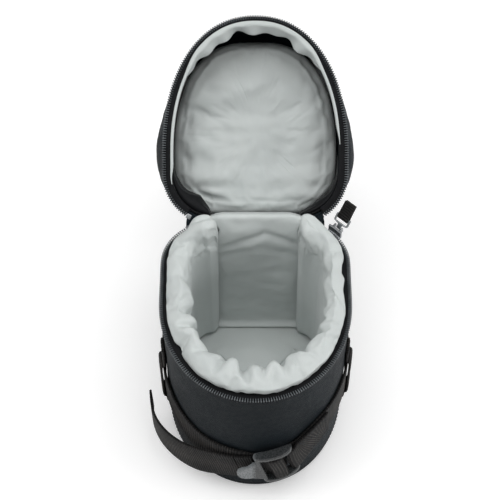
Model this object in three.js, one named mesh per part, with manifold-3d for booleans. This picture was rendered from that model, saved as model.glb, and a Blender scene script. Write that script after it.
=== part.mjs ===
// Upright padded pouch with a zip-around lid, a webbing strap and a ladder-lock buckle.
// Millimetres, +Z up, the front faces -Y, the origin is under the widest line of the plan.
import * as THREE from 'three';
import Module from 'manifold-3d';
import { mergeVertices } from 'three/addons/utils/BufferGeometryUtils.js';

// Plan, measured at the outer face of the wall
const HALF_WIDTH = 56.5;
const FRONT_DEPTH = 68.8;
const BACK_DEPTH = 58;
const CORNER_RADIUS = 30;
const FRONT_FULLNESS = 2.05;
const LID_FULLNESS = 2.2;
const LID_WIDEST_SETBACK = 16;

// Heights
const MOUTH_HEIGHT = 114;
const LID_DEPTH = 46;
const LID_OPEN_ANGLE = THREE.MathUtils.degToRad(141.5);

// Clearances
const GAP = 0.3;
const WRAP_GAP = 0.35;
const SOFT_GAP = 0.5;
const CLOSED_GAP = 0.4;

// Walls
const WALL = 2.4;
const BODY_TAPER = 1.2;
const BODY_SWELL = 1;
const RIM_RADIUS = 9;
const LID_RIM_RADIUS = 7;
const LID_CROWN = 3;
const LID_CROWN_REACH = 23;
const LID_SWELL = 6.5;
const LID_SWELL_START = 50;
const LID_SWELL_RUN = 36;
const LID_SWELL_FADE = 88;
const LID_SWELL_FADE_RUN = 52;

// Padding and lining
const FLOOR_PAD = 10;
const FLOOR_CROWN = 1.5;
const FLOOR_EDGE = 4;
const PAD_THICKNESS = 15;
const PAD_LEDGE = 6.8;
const PAD_LEAN = 30;
const PAD_ROLL_RADIUS = 7.6;
const PAD_END = 29;
const PAD_END_ROUNDING = 5;
const PUCKER_PITCH = 14;
const PUCKER_DEPTH = 3.2;
const PUCKER_START = 112;
const PUCKER_RUN = 40;
const LINING = 1;
const BACK_LINING = 3;
const BACK_LINING_RISE = 10;
const LID_PAD = 9;
const LID_PAD_EDGE = 6;
const LID_PAD_CROWN = 2.5;
const LID_PAD_CROWN_REACH = 20;
const FACING_WIDTH = 3.6;
const FACING_HEIGHT = 6.8;
const FACING_START = 96;
const GUSSET_START = 31;
const GUSSET_END = 60;
const GUSSET_RISE = 10.5;
const GUSSET_HEIGHT = 20;
const GUSSET_DEPTH = 9;

// Zip
const TAPE = 0.8;
const TAPE_EDGE = 1.2;
const BODY_TAPE_REACH = 6;
const LID_TAPE_REACH = 4.3;
const COIL_EDGE = 1.9;
const COIL_WIDTH = 2.5;
const COIL_HEIGHT = 1.5;
const ZIP_END_ANGLE = THREE.MathUtils.degToRad(57);
const STOP_LENGTH = 3;
const STOP_PROUD = 0.5;

// Slider and pull
const SLIDER_LENGTH = 9;
const SLIDER_PLATE = 1.4;
const SLIDER_LIP = 0.4;
const SLIDER_CLEAR = 1.2;
const SLIDER_BACKSET = 1.2;
const EAR = 1;
const EAR_SPACING = 3.6;
const EAR_REACH = 3;
const EAR_HEIGHT = 3;
const BAIL = 1.4;
const BAIL_NECK = 3;
const BAIL_NECK_LENGTH = 2.4;
const BAIL_RING_WIDTH = 11;
const BAIL_RING_LENGTH = 5.8;
const BAIL_SLOT_WIDTH = 8.6;
const BAIL_SLOT_LENGTH = 3.4;
const PULL_WIDTH = 8;
const PULL_WEB = 1;
const PULL_LENGTH = 10.5;
const PULL_REST_ANGLE = THREE.MathUtils.degToRad(54);

// Hinge
const HINGE_OUT = 0.5;
const HINGE_PANEL = 0.9;
const HINGE_PANEL_LAP = 15;
const HINGE_FOLD_INSET = 6;

// Webbing
const WEBBING = 1.5;
const STRAP_WIDTH = 25;
const KEEPER_WIDTH = 12;
const KEEPER_DROP = 28.6;
const KEEPER_SEWN = 5;
const KEEPER_RAMP = 3;
const BELT_LOOP_WIDTH = 38;
const BELT_LOOP_LOW = 16;
const BELT_LOOP_DROP = 2.6;
const BELT_LOOP_SEWN = 6;
const BELT_LOOP_RAMP = 5;
const BELT_LOOP_STANDOFF = 7.5;
const TAIL_LENGTH = 74;
const TAIL_LIFT = 10.3;

// Ladder-lock buckle: places along the strap are from its middle, positive to the right
const BUCKLE_TILT = THREE.MathUtils.degToRad(12);
const BUCKLE_INSIDE = 26;
const RAIL = 3;
const RAIL_LOW = 2.2;
const RAIL_END_RIGHT = 16.2;
const RAIL_END_LEFT = 6.5;
const RAIL_CREST = 8.6;
const BAR_RADIUS = 1.4;
const BAR_SPACING = 9.5;
const FIXED_BAR = 14;
const MIDDLE_BAR_HEIGHT = 5.6;
const TONGUE_BAR_HEIGHT = 6.2;
const TONGUE_LENGTH = 13.5;
const TONGUE_THICKNESS = 2.2;
const TONGUE_RISE = 2.3;
const TONGUE_ROOT_WIDTH = 24;
const TONGUE_TIP_WIDTH = 13;
const THREAD_CREST = 8.4;
const SEWN_END_LENGTH = 20;
const SEWN_END_RAMP = 8;
const STRAIGHT_RIGHT = 17;
const STRAIGHT_LEFT = 4;
const STRAIGHT_BLEND = 16;

// How finely curves are divided
const RING_STEPS = 60;
const STRAP_STEPS = 84;
const FOLD_SIDES = 14;
const BEND_STEPS = 6;
const PAD_STEPS = 108;
const LID_LEVELS = 5;
const SUPER_SAMPLES = 240;
const DIRECTION_REACH = 1;
const JOIN_TOLERANCE = 1e-4;
const thirdShares = [0, 1 / 3, 2 / 3, 1];
const quarterShares = [0, 1 / 4, 1 / 2, 3 / 4, 1];

// Heights of the strap's middle round the body, as shares of the mouth's height.
// The first number is the share of the way round, from the middle of the back by the right.
const strapHeightShares = [
  [0, 0.56], [0.12, 0.53], [0.25, 0.491], [0.385, 0.484], [0.4425, 0.4],
  [0.48, 0.362], [0.54, 0.372], [0.6, 0.388], [0.667, 0.432], [0.74, 0.455], [0.88, 0.53], [1, 0.56],
];
const BUCKLE_PLACE_SHARE = 0.48;
const BUCKLE_HEIGHT_SHARE = 0.364;
const KEEPER_PLACE_SHARE = 0.284;

// The loose tail: how far it stands off and how high it runs, along its own length
const tailLiftShares = [[0, 0], [0.18, 0.1], [0.4, 0.47], [0.68, 0.92], [0.83, 1], [1, 0.85]];
const tailHeightShares = [[0, 0.33], [0.1, 0.3162], [0.2, 0.297], [0.45, 0.248], [0.72, 0.23], [1, 0.244]];

const COLOURS = {
  nylon: '#1c2126',
  lining: '#c9cecc',
  tape: '#101113',
  webbing: '#232221',
  plastic: '#2d2f31',
  metal: '#a8abad',
};

const material = (color, roughness, metalness = 0) => (
  new THREE.MeshStandardMaterial({ color, roughness, metalness })
);
const nylon = () => material(COLOURS.nylon, 0.75);
const liningCloth = () => material(COLOURS.lining, 0.6);
const tapeCloth = () => material(COLOURS.tape, 0.8);
const webbing = () => material(COLOURS.webbing, 0.7);
const plastic = () => material(COLOURS.plastic, 0.4);
const metal = () => material(COLOURS.metal, 0.3, 1);

const wasm = await Module();
wasm.setup();

const smooth = (t) => {
  const u = THREE.MathUtils.clamp(t, 0, 1);
  return u * u * (3 - 2 * u);
};

// A smooth curve through a table of [place, value] rows
function readTable(rows, place) {
  const last = rows.length - 1;
  let i = 0;
  while (i < last - 1 && place > rows[i + 1][0]) {
    i += 1;
  }
  const slope = (k) => {
    const a = rows[Math.max(k - 1, 0)];
    const b = rows[Math.min(k + 1, last)];
    return (b[1] - a[1]) / (b[0] - a[0]);
  };
  const span = rows[i + 1][0] - rows[i][0];
  const t = (place - rows[i][0]) / span;
  const h00 = 2 * t ** 3 - 3 * t ** 2 + 1;
  const h10 = t ** 3 - 2 * t ** 2 + t;
  const h01 = 3 * t ** 2 - 2 * t ** 3;
  const h11 = t ** 3 - t ** 2;
  return h00 * rows[i][1] + h10 * span * slope(i) + h01 * rows[i + 1][1] + h11 * span * slope(i + 1);
}

// A plan outline: straight back, round back corners, full round front. It is measured by the
// length along it, clockwise seen from above, from the middle of the back.
function makeOutline({ half, front, back, corner, widest, fullness }) {
  const right = [[0, back]];
  for (let i = 0; i <= SUPER_SAMPLES; i += 1) {
    const angle = (Math.PI / 2) * (1 - i / SUPER_SAMPLES);
    right.push([half - corner + corner * Math.cos(angle), back - corner + corner * Math.sin(angle)]);
  }
  for (let i = 0; i <= SUPER_SAMPLES; i += 1) {
    const angle = (Math.PI / 2) * (i / SUPER_SAMPLES);
    const across = Math.max(Math.cos(angle), 0) ** (2 / fullness);
    const along = Math.sin(angle) ** (2 / fullness);
    right.push([half * across, widest - (front + widest) * along]);
  }
  const left = right.slice(1, -1).reverse().map(([x, y]) => [-x, y]);
  const loop = [...right, ...left, right[0]];
  const marks = [0];
  for (let i = 1; i < loop.length; i += 1) {
    marks.push(marks[i - 1] + Math.hypot(loop[i][0] - loop[i - 1][0], loop[i][1] - loop[i - 1][1]));
  }
  const length = marks[marks.length - 1];

  const place = (s) => {
    const along = THREE.MathUtils.euclideanModulo(s, length);
    let low = 0;
    let high = marks.length - 1;
    while (high - low > 1) {
      const middle = (low + high) >> 1;
      if (marks[middle] <= along) {
        low = middle;
      } else {
        high = middle;
      }
    }
    const span = marks[high] - marks[low];
    const t = span > 0 ? (along - marks[low]) / span : 0;
    return [
      loop[low][0] + (loop[high][0] - loop[low][0]) * t,
      loop[low][1] + (loop[high][1] - loop[low][1]) * t,
    ];
  };

  // The point at a length s, moved out by h along the outward direction, at height z
  const point = (s, h, z) => {
    const [x, y] = place(s);
    const [ax, ay] = place(s - DIRECTION_REACH);
    const [bx, by] = place(s + DIRECTION_REACH);
    const run = Math.hypot(bx - ax, by - ay);
    return new THREE.Vector3(x - ((by - ay) / run) * h, y + ((bx - ax) / run) * h, z);
  };
  return { length, point };
}

const plan = { half: HALF_WIDTH, front: FRONT_DEPTH, back: BACK_DEPTH, corner: CORNER_RADIUS };
const bodyOutline = makeOutline({ ...plan, widest: 0, fullness: FRONT_FULLNESS });
const lidOutline = makeOutline({ ...plan, widest: LID_WIDEST_SETBACK, fullness: LID_FULLNESS });

// Heights that the pieces share. The lid is laid out closed, as a mirror image above the zip.
const tapeTop = MOUTH_HEIGHT - GAP;
const wallTop = tapeTop - TAPE - GAP;
const wallBottom = RIM_RADIUS + GAP;
const meetHeight = MOUTH_HEIGHT + COIL_HEIGHT + CLOSED_GAP / 2;
const mirrored = (z) => 2 * meetHeight - z;
const lidWallLow = mirrored(wallTop);
const lidTop = meetHeight + LID_DEPTH;
const lidWallHigh = lidTop - LID_RIM_RADIUS - GAP;
const lidPadLow = lidTop - WALL - GAP - LID_PAD;
const zipEnd = HALF_WIDTH - CORNER_RADIUS + CORNER_RADIUS * (Math.PI / 2 - ZIP_END_ANGLE);

// The outer face of each wall, out from its outline
const bodyFace = (z) => {
  const share = z / MOUTH_HEIGHT;
  return BODY_SWELL * Math.sin(Math.PI * share) - BODY_TAPER * (1 - share);
};
const lidFace = (s, z) => {
  const fromBack = Math.min(s, lidOutline.length - s);
  const level = LID_LEVELS * THREE.MathUtils.clamp((z - lidWallLow) / (lidWallHigh - lidWallLow), 0, 1);
  const below = Math.floor(level);
  const archAt = (k) => Math.sin((Math.PI * k) / LID_LEVELS);
  const arch = THREE.MathUtils.lerp(archAt(below), archAt(below + 1), level - below);
  const rise = smooth((fromBack - LID_SWELL_START) / LID_SWELL_RUN);
  const fade = 1 - smooth((fromBack - LID_SWELL_FADE) / LID_SWELL_FADE_RUN);
  return LID_SWELL * rise * fade * arch;
};
const lidLevels = Array.from({ length: LID_LEVELS + 1 }, (_, k) => (
  lidWallLow + (k / LID_LEVELS) * (lidWallHigh - lidWallLow)
));
const onWall = (s, z, h) => bodyOutline.point(s, bodyFace(z) + h, z);

const turn = (loop, [a, b, c]) => {
  const [p, q, r] = [loop[a], loop[b], loop[c]];
  return (q.x - p.x) * (r.y - p.y) - (r.x - p.x) * (q.y - p.y);
};

// A closed solid through a row of like sections. Open rows get a flat cap at each end.
function loft(sections, flats = null) {
  const count = sections[0].length;
  const rows = sections.length;
  const points = sections.flat();
  const faces = [];
  for (let i = 0; i < (flats ? rows - 1 : rows); i += 1) {
    const a = i * count;
    const b = ((i + 1) % rows) * count;
    for (let j = 0; j < count; j += 1) {
      const k = (j + 1) % count;
      faces.push([a + j, b + j, b + k], [a + j, b + k, a + k]);
    }
  }
  if (flats) {
    flats.forEach((loop, end) => {
      const first = end * (rows - 1) * count;
      const forward = THREE.ShapeUtils.area(loop) > 0;
      for (const face of THREE.ShapeUtils.triangulateShape(loop, [])) {
        const along = turn(loop, face) > 0 === forward;
        const [a, b, c] = along === (end === 0) ? face : [face[2], face[1], face[0]];
        faces.push([first + a, first + b, first + c]);
      }
    });
  }
  let volume = 0;
  for (const [a, b, c] of faces) {
    volume += points[a].dot(points[b].clone().cross(points[c]));
  }
  const index = volume > 0 ? faces : faces.map(([a, b, c]) => [c, b, a]);
  const geometry = new THREE.BufferGeometry().setFromPoints(points);
  geometry.setIndex(index.flat());
  return geometry;
}

const flatLoop = (section) => section.map((p) => new THREE.Vector2(p.x, p.y));
const profileLoop = (profile) => profile.map(([h, z]) => new THREE.Vector2(h, z));

function stationsBetween(outline, from, to, steps = RING_STEPS) {
  const step = outline.length / steps;
  const inside = [];
  for (let i = Math.ceil(from / step); i * step < to; i += 1) {
    inside.push(i * step);
  }
  const clear = (s) => s - from > step / 4 && to - s > step / 4;
  return [from, ...inside.filter(clear), to];
}

// A band whose profile of [out, up] points runs along the outline, all the way round or from
// one length to another
function band(outline, profileAt, from = null, to = null, steps = RING_STEPS) {
  const whole = from === null;
  const stops = whole
    ? Array.from({ length: steps }, (_, i) => (i * outline.length) / steps)
    : stationsBetween(outline, from, to, steps);
  const sections = stops.map((s) => profileAt(s).map(([h, z]) => outline.point(s, h, z)));
  const flats = whole ? null : [profileLoop(profileAt(from)), profileLoop(profileAt(to))];
  return loft(sections, flats);
}

// A panel built up from level loops of [out, up], closed below and above
function panel(outline, levels) {
  const stops = Array.from({ length: RING_STEPS }, (_, i) => (i * outline.length) / RING_STEPS);
  const sections = levels.map(([h, z]) => stops.map((s) => outline.point(s, h, z)));
  return loft(sections, [flatLoop(sections[0]), flatLoop(sections[sections.length - 1])]);
}

// Webbing as a loft: each section's under and over sides are divided across the width
function webLoft(sections, width, thickness, pieces) {
  const across = Array.from({ length: pieces + 1 }, (_, k) => width * (k / pieces - 1 / 2));
  const back = across.slice().reverse();
  const rows = sections.map((place) => [
    ...across.map((w) => place(w, 0)),
    ...back.map((w) => place(w, thickness)),
  ]);
  const flat = [
    ...across.map((w) => new THREE.Vector2(w, 0)),
    ...back.map((w) => new THREE.Vector2(w, thickness)),
  ];
  return loft(rows, [flat, flat]);
}

// Webbing laid on the wall. The path is a row of { s, z, h }: length round, height, stand-off.
function ribbon(path, width, thickness, pieces = 2) {
  const sections = path.map((at, i) => {
    const before = path[Math.max(i - 1, 0)];
    const after = path[Math.min(i + 1, path.length - 1)];
    const run = Math.hypot(after.s - before.s, after.z - before.z);
    const across = [-(after.z - before.z) / run, (after.s - before.s) / run];
    return (w, up) => onWall(at.s + across[0] * w, at.z + across[1] * w, at.h + up);
  });
  return webLoft(sections, width, thickness, pieces);
}

// Webbing whose edge view is a line in XZ, its width along Y
function flatRibbon(line, width, thickness, pieces = 1) {
  const sections = line.map((at, i) => {
    const along = line[Math.min(i + 1, line.length - 1)].clone().sub(line[Math.max(i - 1, 0)]).normalize();
    return (w, up) => {
      const out = up - thickness / 2;
      return new THREE.Vector3(at.x - along.y * out, w, at.y + along.x * out);
    };
  });
  return webLoft(sections, width, thickness, pieces);
}

function mesh(name, geometry, finish) {
  const piece = new THREE.Mesh(geometry, finish);
  piece.name = name;
  return piece;
}

function makeSolid(geometry) {
  const bare = geometry.clone();
  bare.deleteAttribute('normal');
  bare.deleteAttribute('uv');
  const joined = mergeVertices(bare, JOIN_TOLERANCE);
  const vertProperties = new Float32Array(joined.attributes.position.array);
  const triVerts = new Uint32Array(joined.index.array);
  return new wasm.Manifold(new wasm.Mesh({ numProp: 3, vertProperties, triVerts }));
}

function solidGeometry(solid) {
  const { vertProperties, triVerts } = solid.getMesh();
  const geometry = new THREE.BufferGeometry();
  geometry.setAttribute('position', new THREE.BufferAttribute(new Float32Array(vertProperties), 3));
  geometry.setIndex(new THREE.BufferAttribute(new Uint32Array(triVerts), 1));
  return geometry;
}

const unite = (geometries) => (
  solidGeometry(geometries.map(makeSolid).reduce((whole, next) => whole.add(next)))
);

function outerWall() {
  const rise = wallTop - wallBottom;
  const outer = quarterShares.map((share) => wallBottom + rise * share);
  const inner = outer.slice().reverse();
  return band(bodyOutline, () => [
    ...outer.map((z) => [bodyFace(z), z]),
    ...inner.map((z) => [bodyFace(z) - WALL, z]),
  ]);
}

function basePanel() {
  const turns = thirdShares.map((share) => (share * Math.PI) / 2);
  const inside = RIM_RADIUS - WALL;
  const foot = bodyFace(0) - RIM_RADIUS;
  const outer = turns.map((a) => [foot + RIM_RADIUS * Math.sin(a), RIM_RADIUS * (1 - Math.cos(a))]);
  const inner = turns.map((a) => [foot + inside * Math.sin(a), WALL + inside * (1 - Math.cos(a))]);
  return panel(bodyOutline, [...outer, ...inner.reverse()]);
}

const floorLow = WALL + GAP;
const floorTop = floorLow + FLOOR_PAD;

function floorPad() {
  const side = bodyFace(0) - WALL - GAP - BACK_LINING;
  return panel(bodyOutline, [
    [side - 2 * FLOOR_EDGE, floorLow],
    [side - FLOOR_EDGE / 2, floorLow + FLOOR_EDGE],
    [side - GAP, floorTop - FLOOR_EDGE / 2],
    [side - FLOOR_EDGE / 2, floorTop],
    [side - 4 * FLOOR_EDGE, floorTop + FLOOR_CROWN],
  ]);
}

const padLow = floorTop + FLOOR_CROWN + GAP;
const padOuter = -(WALL + SOFT_GAP);
const lidLiningOut = -(WALL + SOFT_GAP);

// How far the roll of the pad is pinched in at a length s
function pinch(s) {
  const fromFront = Math.abs(s - bodyOutline.length / 2);
  const front = 1 - smooth((fromFront - (bodyOutline.length / 2 - PUCKER_START - PUCKER_RUN)) / PUCKER_RUN);
  const wave = (1 + Math.cos((2 * Math.PI * fromFront) / PUCKER_PITCH)) / 2;
  return PUCKER_DEPTH * front * wave ** 2;
}

function padProfile(s) {
  const fromEnd = Math.min(s - PAD_END, bodyOutline.length - PAD_END - s);
  const ending = 1 - smooth(fromEnd / PAD_END_ROUNDING);
  const drawn = pinch(s);
  const slack = (ending * PAD_END_ROUNDING) / 2;
  const radius = PAD_ROLL_RADIUS - drawn / 4 - slack / 2;
  const centre = -(PAD_LEDGE + slack + radius);
  const leanLow = MOUTH_HEIGHT - PAD_LEAN;
  const roll = Array.from({ length: BEND_STEPS }, (_, k) => {
    const angle = (k / BEND_STEPS) * Math.PI;
    const lowered = Math.sin(angle) * (drawn / 2);
    return [centre + radius * Math.cos(angle), MOUTH_HEIGHT + radius * Math.sin(angle) - lowered];
  });
  return [
    [padOuter - slack, padLow],
    [padOuter - slack, leanLow],
    ...roll,
    [centre - radius + drawn / 2, MOUTH_HEIGHT],
    [padOuter - PAD_THICKNESS + drawn / 2 + slack, leanLow],
    [padOuter - PAD_THICKNESS + slack, padLow],
  ].map(([h, z]) => [bodyFace(Math.min(z, MOUTH_HEIGHT)) + h, z]);
}

const wallPad = () => band(bodyOutline, padProfile, PAD_END, bodyOutline.length - PAD_END, PAD_STEPS);

function backLining() {
  const reach = PAD_END - GAP - PAD_END_ROUNDING / 2;
  const top = meetHeight + BACK_LINING_RISE;
  const low = lidWallLow - GAP;
  const inside = lidLiningOut - LINING - GAP;
  return band(bodyOutline, () => [
    [bodyFace(padLow) + padOuter, padLow],
    [padOuter - GAP, wallTop],
    [inside, low],
    [inside, top - BACK_LINING / 2],
    [inside - BACK_LINING / 2, top],
    [inside - BACK_LINING, top - BACK_LINING / 2],
    [inside - BACK_LINING, low],
    [padOuter - GAP - BACK_LINING, wallTop],
    [bodyFace(padLow) + padOuter - BACK_LINING, padLow],
  ], -reach, reach);
}

const rectangle = (low, high, bottom, top) => [[low, bottom], [high, bottom], [high, top], [low, top]];
const upsideDown = (profile) => profile.map(([h, z]) => [h, mirrored(z)]);
const bodyTape = rectangle(-BODY_TAPE_REACH, TAPE_EDGE, tapeTop - TAPE, tapeTop);
const lidTape = upsideDown(rectangle(-LID_TAPE_REACH, TAPE_EDGE, tapeTop - TAPE, tapeTop));
const coil = rectangle(COIL_EDGE - COIL_WIDTH, COIL_EDGE, MOUTH_HEIGHT, MOUTH_HEIGHT + COIL_HEIGHT);
const stop = rectangle(
  COIL_EDGE - COIL_WIDTH,
  COIL_EDGE + STOP_PROUD,
  MOUTH_HEIGHT,
  MOUTH_HEIGHT + COIL_HEIGHT,
);
const alongZip = (outline, profile) => band(outline, () => profile, zipEnd, outline.length - zipEnd);
const atZipEnd = (outline, profile) => band(
  outline,
  () => profile,
  outline.length - zipEnd + GAP,
  outline.length - zipEnd + GAP + STOP_LENGTH,
);

function hingePanel() {
  const low = wallTop - HINGE_PANEL_LAP;
  return band(bodyOutline, () => [
    [bodyFace(low) + GAP, low],
    [bodyFace(low) + GAP + HINGE_PANEL, low],
    [GAP + HINGE_PANEL, wallTop],
    [GAP, wallTop],
  ], -zipEnd + STOP_LENGTH, zipEnd - STOP_LENGTH);
}

// The rolled fold of fabric that the lid turns on
const hingeLine = new THREE.Vector3(0, BACK_DEPTH + HINGE_OUT, meetHeight);

function hingeFold() {
  const full = meetHeight - wallTop - GAP;
  const reach = bodyOutline.point(zipEnd - GAP - STOP_LENGTH, 0, 0).x - HINGE_FOLD_INSET;
  const ring = (x, radius) => Array.from({ length: FOLD_SIDES }, (_, i) => {
    const angle = (2 * Math.PI * i) / FOLD_SIDES;
    return new THREE.Vector3(x, radius * Math.cos(angle), radius * Math.sin(angle)).add(hingeLine);
  });
  const half = thirdShares.slice(0, -1).map((share) => {
    const angle = (share * Math.PI) / 2;
    return [reach - full * (1 - Math.sin(angle)), full * Math.cos(angle)];
  });
  const rings = [
    ...half.slice().reverse().map(([x, radius]) => ring(-x, radius)),
    ...half.map(([x, radius]) => ring(x, radius)),
  ];
  const ends = [rings[0], rings[rings.length - 1]];
  return loft(rings, ends.map((section) => section.map((p) => new THREE.Vector2(p.y, p.z))));
}

// Lid, laid out closed
function lidWall() {
  return band(lidOutline, (s) => [
    ...lidLevels.map((z) => [lidFace(s, z), z]),
    ...lidLevels.slice().reverse().map((z) => [lidFace(s, z) - WALL, z]),
  ]);
}

function lidTopPanel() {
  const turns = thirdShares.map((share) => (share * Math.PI) / 2);
  const inside = LID_RIM_RADIUS - WALL;
  const low = lidTop - LID_RIM_RADIUS;
  const outer = turns.map((a) => [LID_RIM_RADIUS * (Math.cos(a) - 1), low + LID_RIM_RADIUS * Math.sin(a)]);
  const inner = turns.map((a) => [inside * Math.cos(a) - LID_RIM_RADIUS, low + inside * Math.sin(a)]);
  const crown = lidTop + LID_CROWN;
  return panel(lidOutline, [
    [-LID_CROWN_REACH, crown - WALL],
    ...inner.reverse(),
    ...outer,
    [-LID_CROWN_REACH, crown],
  ]);
}

function lidSideLining() {
  const top = lidPadLow - GAP;
  const levels = [...lidLevels.filter((z) => z < top - LINING), top];
  return band(lidOutline, (s) => [
    ...levels.map((z) => [lidFace(s, z) + lidLiningOut, z]),
    ...levels.slice().reverse().map((z) => [lidFace(s, z) + lidLiningOut - LINING, z]),
  ]);
}

function lidPad() {
  const side = lidLiningOut;
  const top = lidPadLow + LID_PAD;
  return panel(lidOutline, [
    [side - LID_PAD_CROWN_REACH, lidPadLow - LID_PAD_CROWN],
    [side - LID_PAD_EDGE, lidPadLow],
    [side - LID_PAD_EDGE / 4, lidPadLow + LID_PAD_EDGE / 3],
    [side - LID_PAD_EDGE / 6, lidPadLow + LID_PAD_EDGE],
    [side - LID_PAD_EDGE, top],
  ]);
}

function lidFacing() {
  const root = -(WALL + 2 * GAP + LINING);
  const low = mirrored(tapeTop - TAPE) + GAP;
  return band(lidOutline, () => [
    [root, low],
    [root, low + LINING],
    [root - FACING_WIDTH, low + LINING + FACING_HEIGHT],
    [root - FACING_WIDTH - LINING, low + FACING_HEIGHT],
    [root - LINING, low],
  ], FACING_START, lidOutline.length - FACING_START);
}

function gusset(from, to) {
  const root = lidLiningOut - LINING - GAP;
  const low = meetHeight + GUSSET_RISE;
  return band(lidOutline, () => [
    [root, low],
    [root, low + LINING],
    [root - GUSSET_DEPTH, low + GUSSET_HEIGHT],
    [root - GUSSET_DEPTH - LINING, low + GUSSET_HEIGHT - LINING],
    [root - LINING, low - LINING],
  ], from, to);
}

// Slider on the zip's right end, curved to the corner that it runs round
const sliderFrom = zipEnd + SLIDER_BACKSET;
const sliderMiddle = sliderFrom + SLIDER_LENGTH / 2;
const sliderFace = COIL_EDGE + SLIDER_CLEAR + SLIDER_PLATE;

function zipSlider() {
  const low = MOUTH_HEIGHT - GAP;
  const high = mirrored(MOUTH_HEIGHT) + GAP;
  const inner = COIL_EDGE + SLIDER_CLEAR;
  const lip = COIL_EDGE - SLIDER_LIP;
  const clip = band(bodyOutline, () => [
    [lip, low - SLIDER_PLATE],
    [sliderFace, low - SLIDER_PLATE],
    [sliderFace, high],
    [inner, high],
    [inner, low],
    [lip, low],
  ], sliderFrom, sliderFrom + SLIDER_LENGTH, 4 * RING_STEPS);
  const earLow = meetHeight - EAR_HEIGHT / 2;
  const ears = [-1, 1].map((side) => {
    const middle = sliderMiddle + (side * (EAR_SPACING + EAR)) / 2;
    const root = sliderFace - SLIDER_PLATE / 2;
    const profile = rectangle(root, sliderFace + EAR_REACH, earLow, earLow + EAR_HEIGHT);
    return band(bodyOutline, () => profile, middle - EAR / 2, middle + EAR / 2);
  });
  return unite([clip, ...ears]);
}

// Where the pull turns: between the ears, level with the zip
const pullRadius = sliderFace + EAR_REACH - BAIL / 2;

function pullFrame() {
  const origin = bodyOutline.point(sliderMiddle, pullRadius, meetHeight);
  const outward = bodyOutline.point(sliderMiddle, pullRadius + DIRECTION_REACH, meetHeight).sub(origin);
  const heading = Math.atan2(outward.y, outward.x);
  const frame = new THREE.Group();
  frame.position.copy(origin);
  frame.rotation.set(0, -PULL_REST_ANGLE, heading, 'ZYX');
  return frame;
}

// Bail, laid out along +X from its turning axis, flat in XY
function pullBail() {
  const outline = new THREE.Shape();
  const half = BAIL_RING_WIDTH / 2;
  const ringEnd = BAIL_NECK_LENGTH + BAIL_RING_LENGTH;
  outline.moveTo(-BAIL / 2, -BAIL_NECK / 2);
  outline.lineTo(BAIL_NECK_LENGTH, -BAIL_NECK / 2);
  outline.quadraticCurveTo(BAIL_NECK_LENGTH, -half, BAIL_NECK_LENGTH + BAIL_NECK / 2, -half);
  outline.lineTo(ringEnd, -half);
  outline.lineTo(ringEnd, half);
  outline.lineTo(BAIL_NECK_LENGTH + BAIL_NECK / 2, half);
  outline.quadraticCurveTo(BAIL_NECK_LENGTH, half, BAIL_NECK_LENGTH, BAIL_NECK / 2);
  outline.lineTo(-BAIL / 2, BAIL_NECK / 2);
  const slotEnd = ringEnd - BAIL;
  const slot = new THREE.Path();
  slot.moveTo(slotEnd - BAIL_SLOT_LENGTH, -BAIL_SLOT_WIDTH / 2);
  slot.lineTo(slotEnd - BAIL_SLOT_LENGTH, BAIL_SLOT_WIDTH / 2);
  slot.lineTo(slotEnd, BAIL_SLOT_WIDTH / 2);
  slot.lineTo(slotEnd, -BAIL_SLOT_WIDTH / 2);
  outline.holes.push(slot);
  const plate = new THREE.ExtrudeGeometry(outline, { depth: BAIL, bevelEnabled: false, curveSegments: 4 });
  plate.translate(0, 0, -BAIL / 2);
  return plate;
}

// Webbing pull, folded through the bail's slot
function pullTab() {
  const barMiddle = BAIL_NECK_LENGTH + BAIL_RING_LENGTH - BAIL / 2;
  const bend = BAIL / 2 + WRAP_GAP + PULL_WEB / 2;
  const ply = GAP + PULL_WEB / 2;
  const closing = new THREE.Vector2(barMiddle + 2 * bend, (bend + PULL_WEB / 2) / 2);
  const tip = new THREE.Vector2(barMiddle + PULL_LENGTH, ply);
  const line = [tip, closing];
  for (let k = 0; k <= BEND_STEPS; k += 1) {
    const angle = Math.PI / 2 + (k / BEND_STEPS) * Math.PI;
    line.push(new THREE.Vector2(barMiddle + bend * Math.cos(angle), bend * Math.sin(angle)));
  }
  line.push(new THREE.Vector2(closing.x, -closing.y), new THREE.Vector2(tip.x, -tip.y));
  return flatRibbon(line, PULL_WIDTH, PULL_WEB);
}

// Strap round the body
const buckleS = BUCKLE_PLACE_SHARE * bodyOutline.length;
const buckleZ = BUCKLE_HEIGHT_SHARE * MOUTH_HEIGHT;
// The strap follows its table of heights, and runs straight with the buckle where it passes it
function strapHeight(s) {
  const along = THREE.MathUtils.euclideanModulo(s, bodyOutline.length);
  const u = (buckleS - along) / Math.cos(BUCKLE_TILT);
  const held = u > 0 ? STRAIGHT_RIGHT : STRAIGHT_LEFT;
  const free = smooth((Math.abs(u) - held) / STRAIGHT_BLEND);
  const straight = buckleZ + u * Math.sin(BUCKLE_TILT);
  const own = MOUTH_HEIGHT * readTable(strapHeightShares, along / bodyOutline.length);
  return THREE.MathUtils.lerp(straight, own, free);
}
const layerOne = WRAP_GAP;
const layerTwo = layerOne + WEBBING + GAP;
const bend = BAR_RADIUS + GAP;
const fixedBarHeight = layerOne + WEBBING + bend;
const middleBar = FIXED_BAR - BAR_SPACING;
const tongueBar = middleBar - BAR_SPACING + GAP;
const threadUp = middleBar + BAR_RADIUS + 2 * GAP + WEBBING;

function strap() {
  const from = buckleS - threadUp - WEBBING;
  const to = buckleS + bodyOutline.length - FIXED_BAR - GAP / 2;
  const path = Array.from({ length: STRAP_STEPS + 1 }, (_, i) => {
    const s = from + ((to - from) * i) / STRAP_STEPS;
    return { s, z: strapHeight(s), h: layerOne };
  });
  return ribbon(path, STRAP_WIDTH, WEBBING);
}

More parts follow.
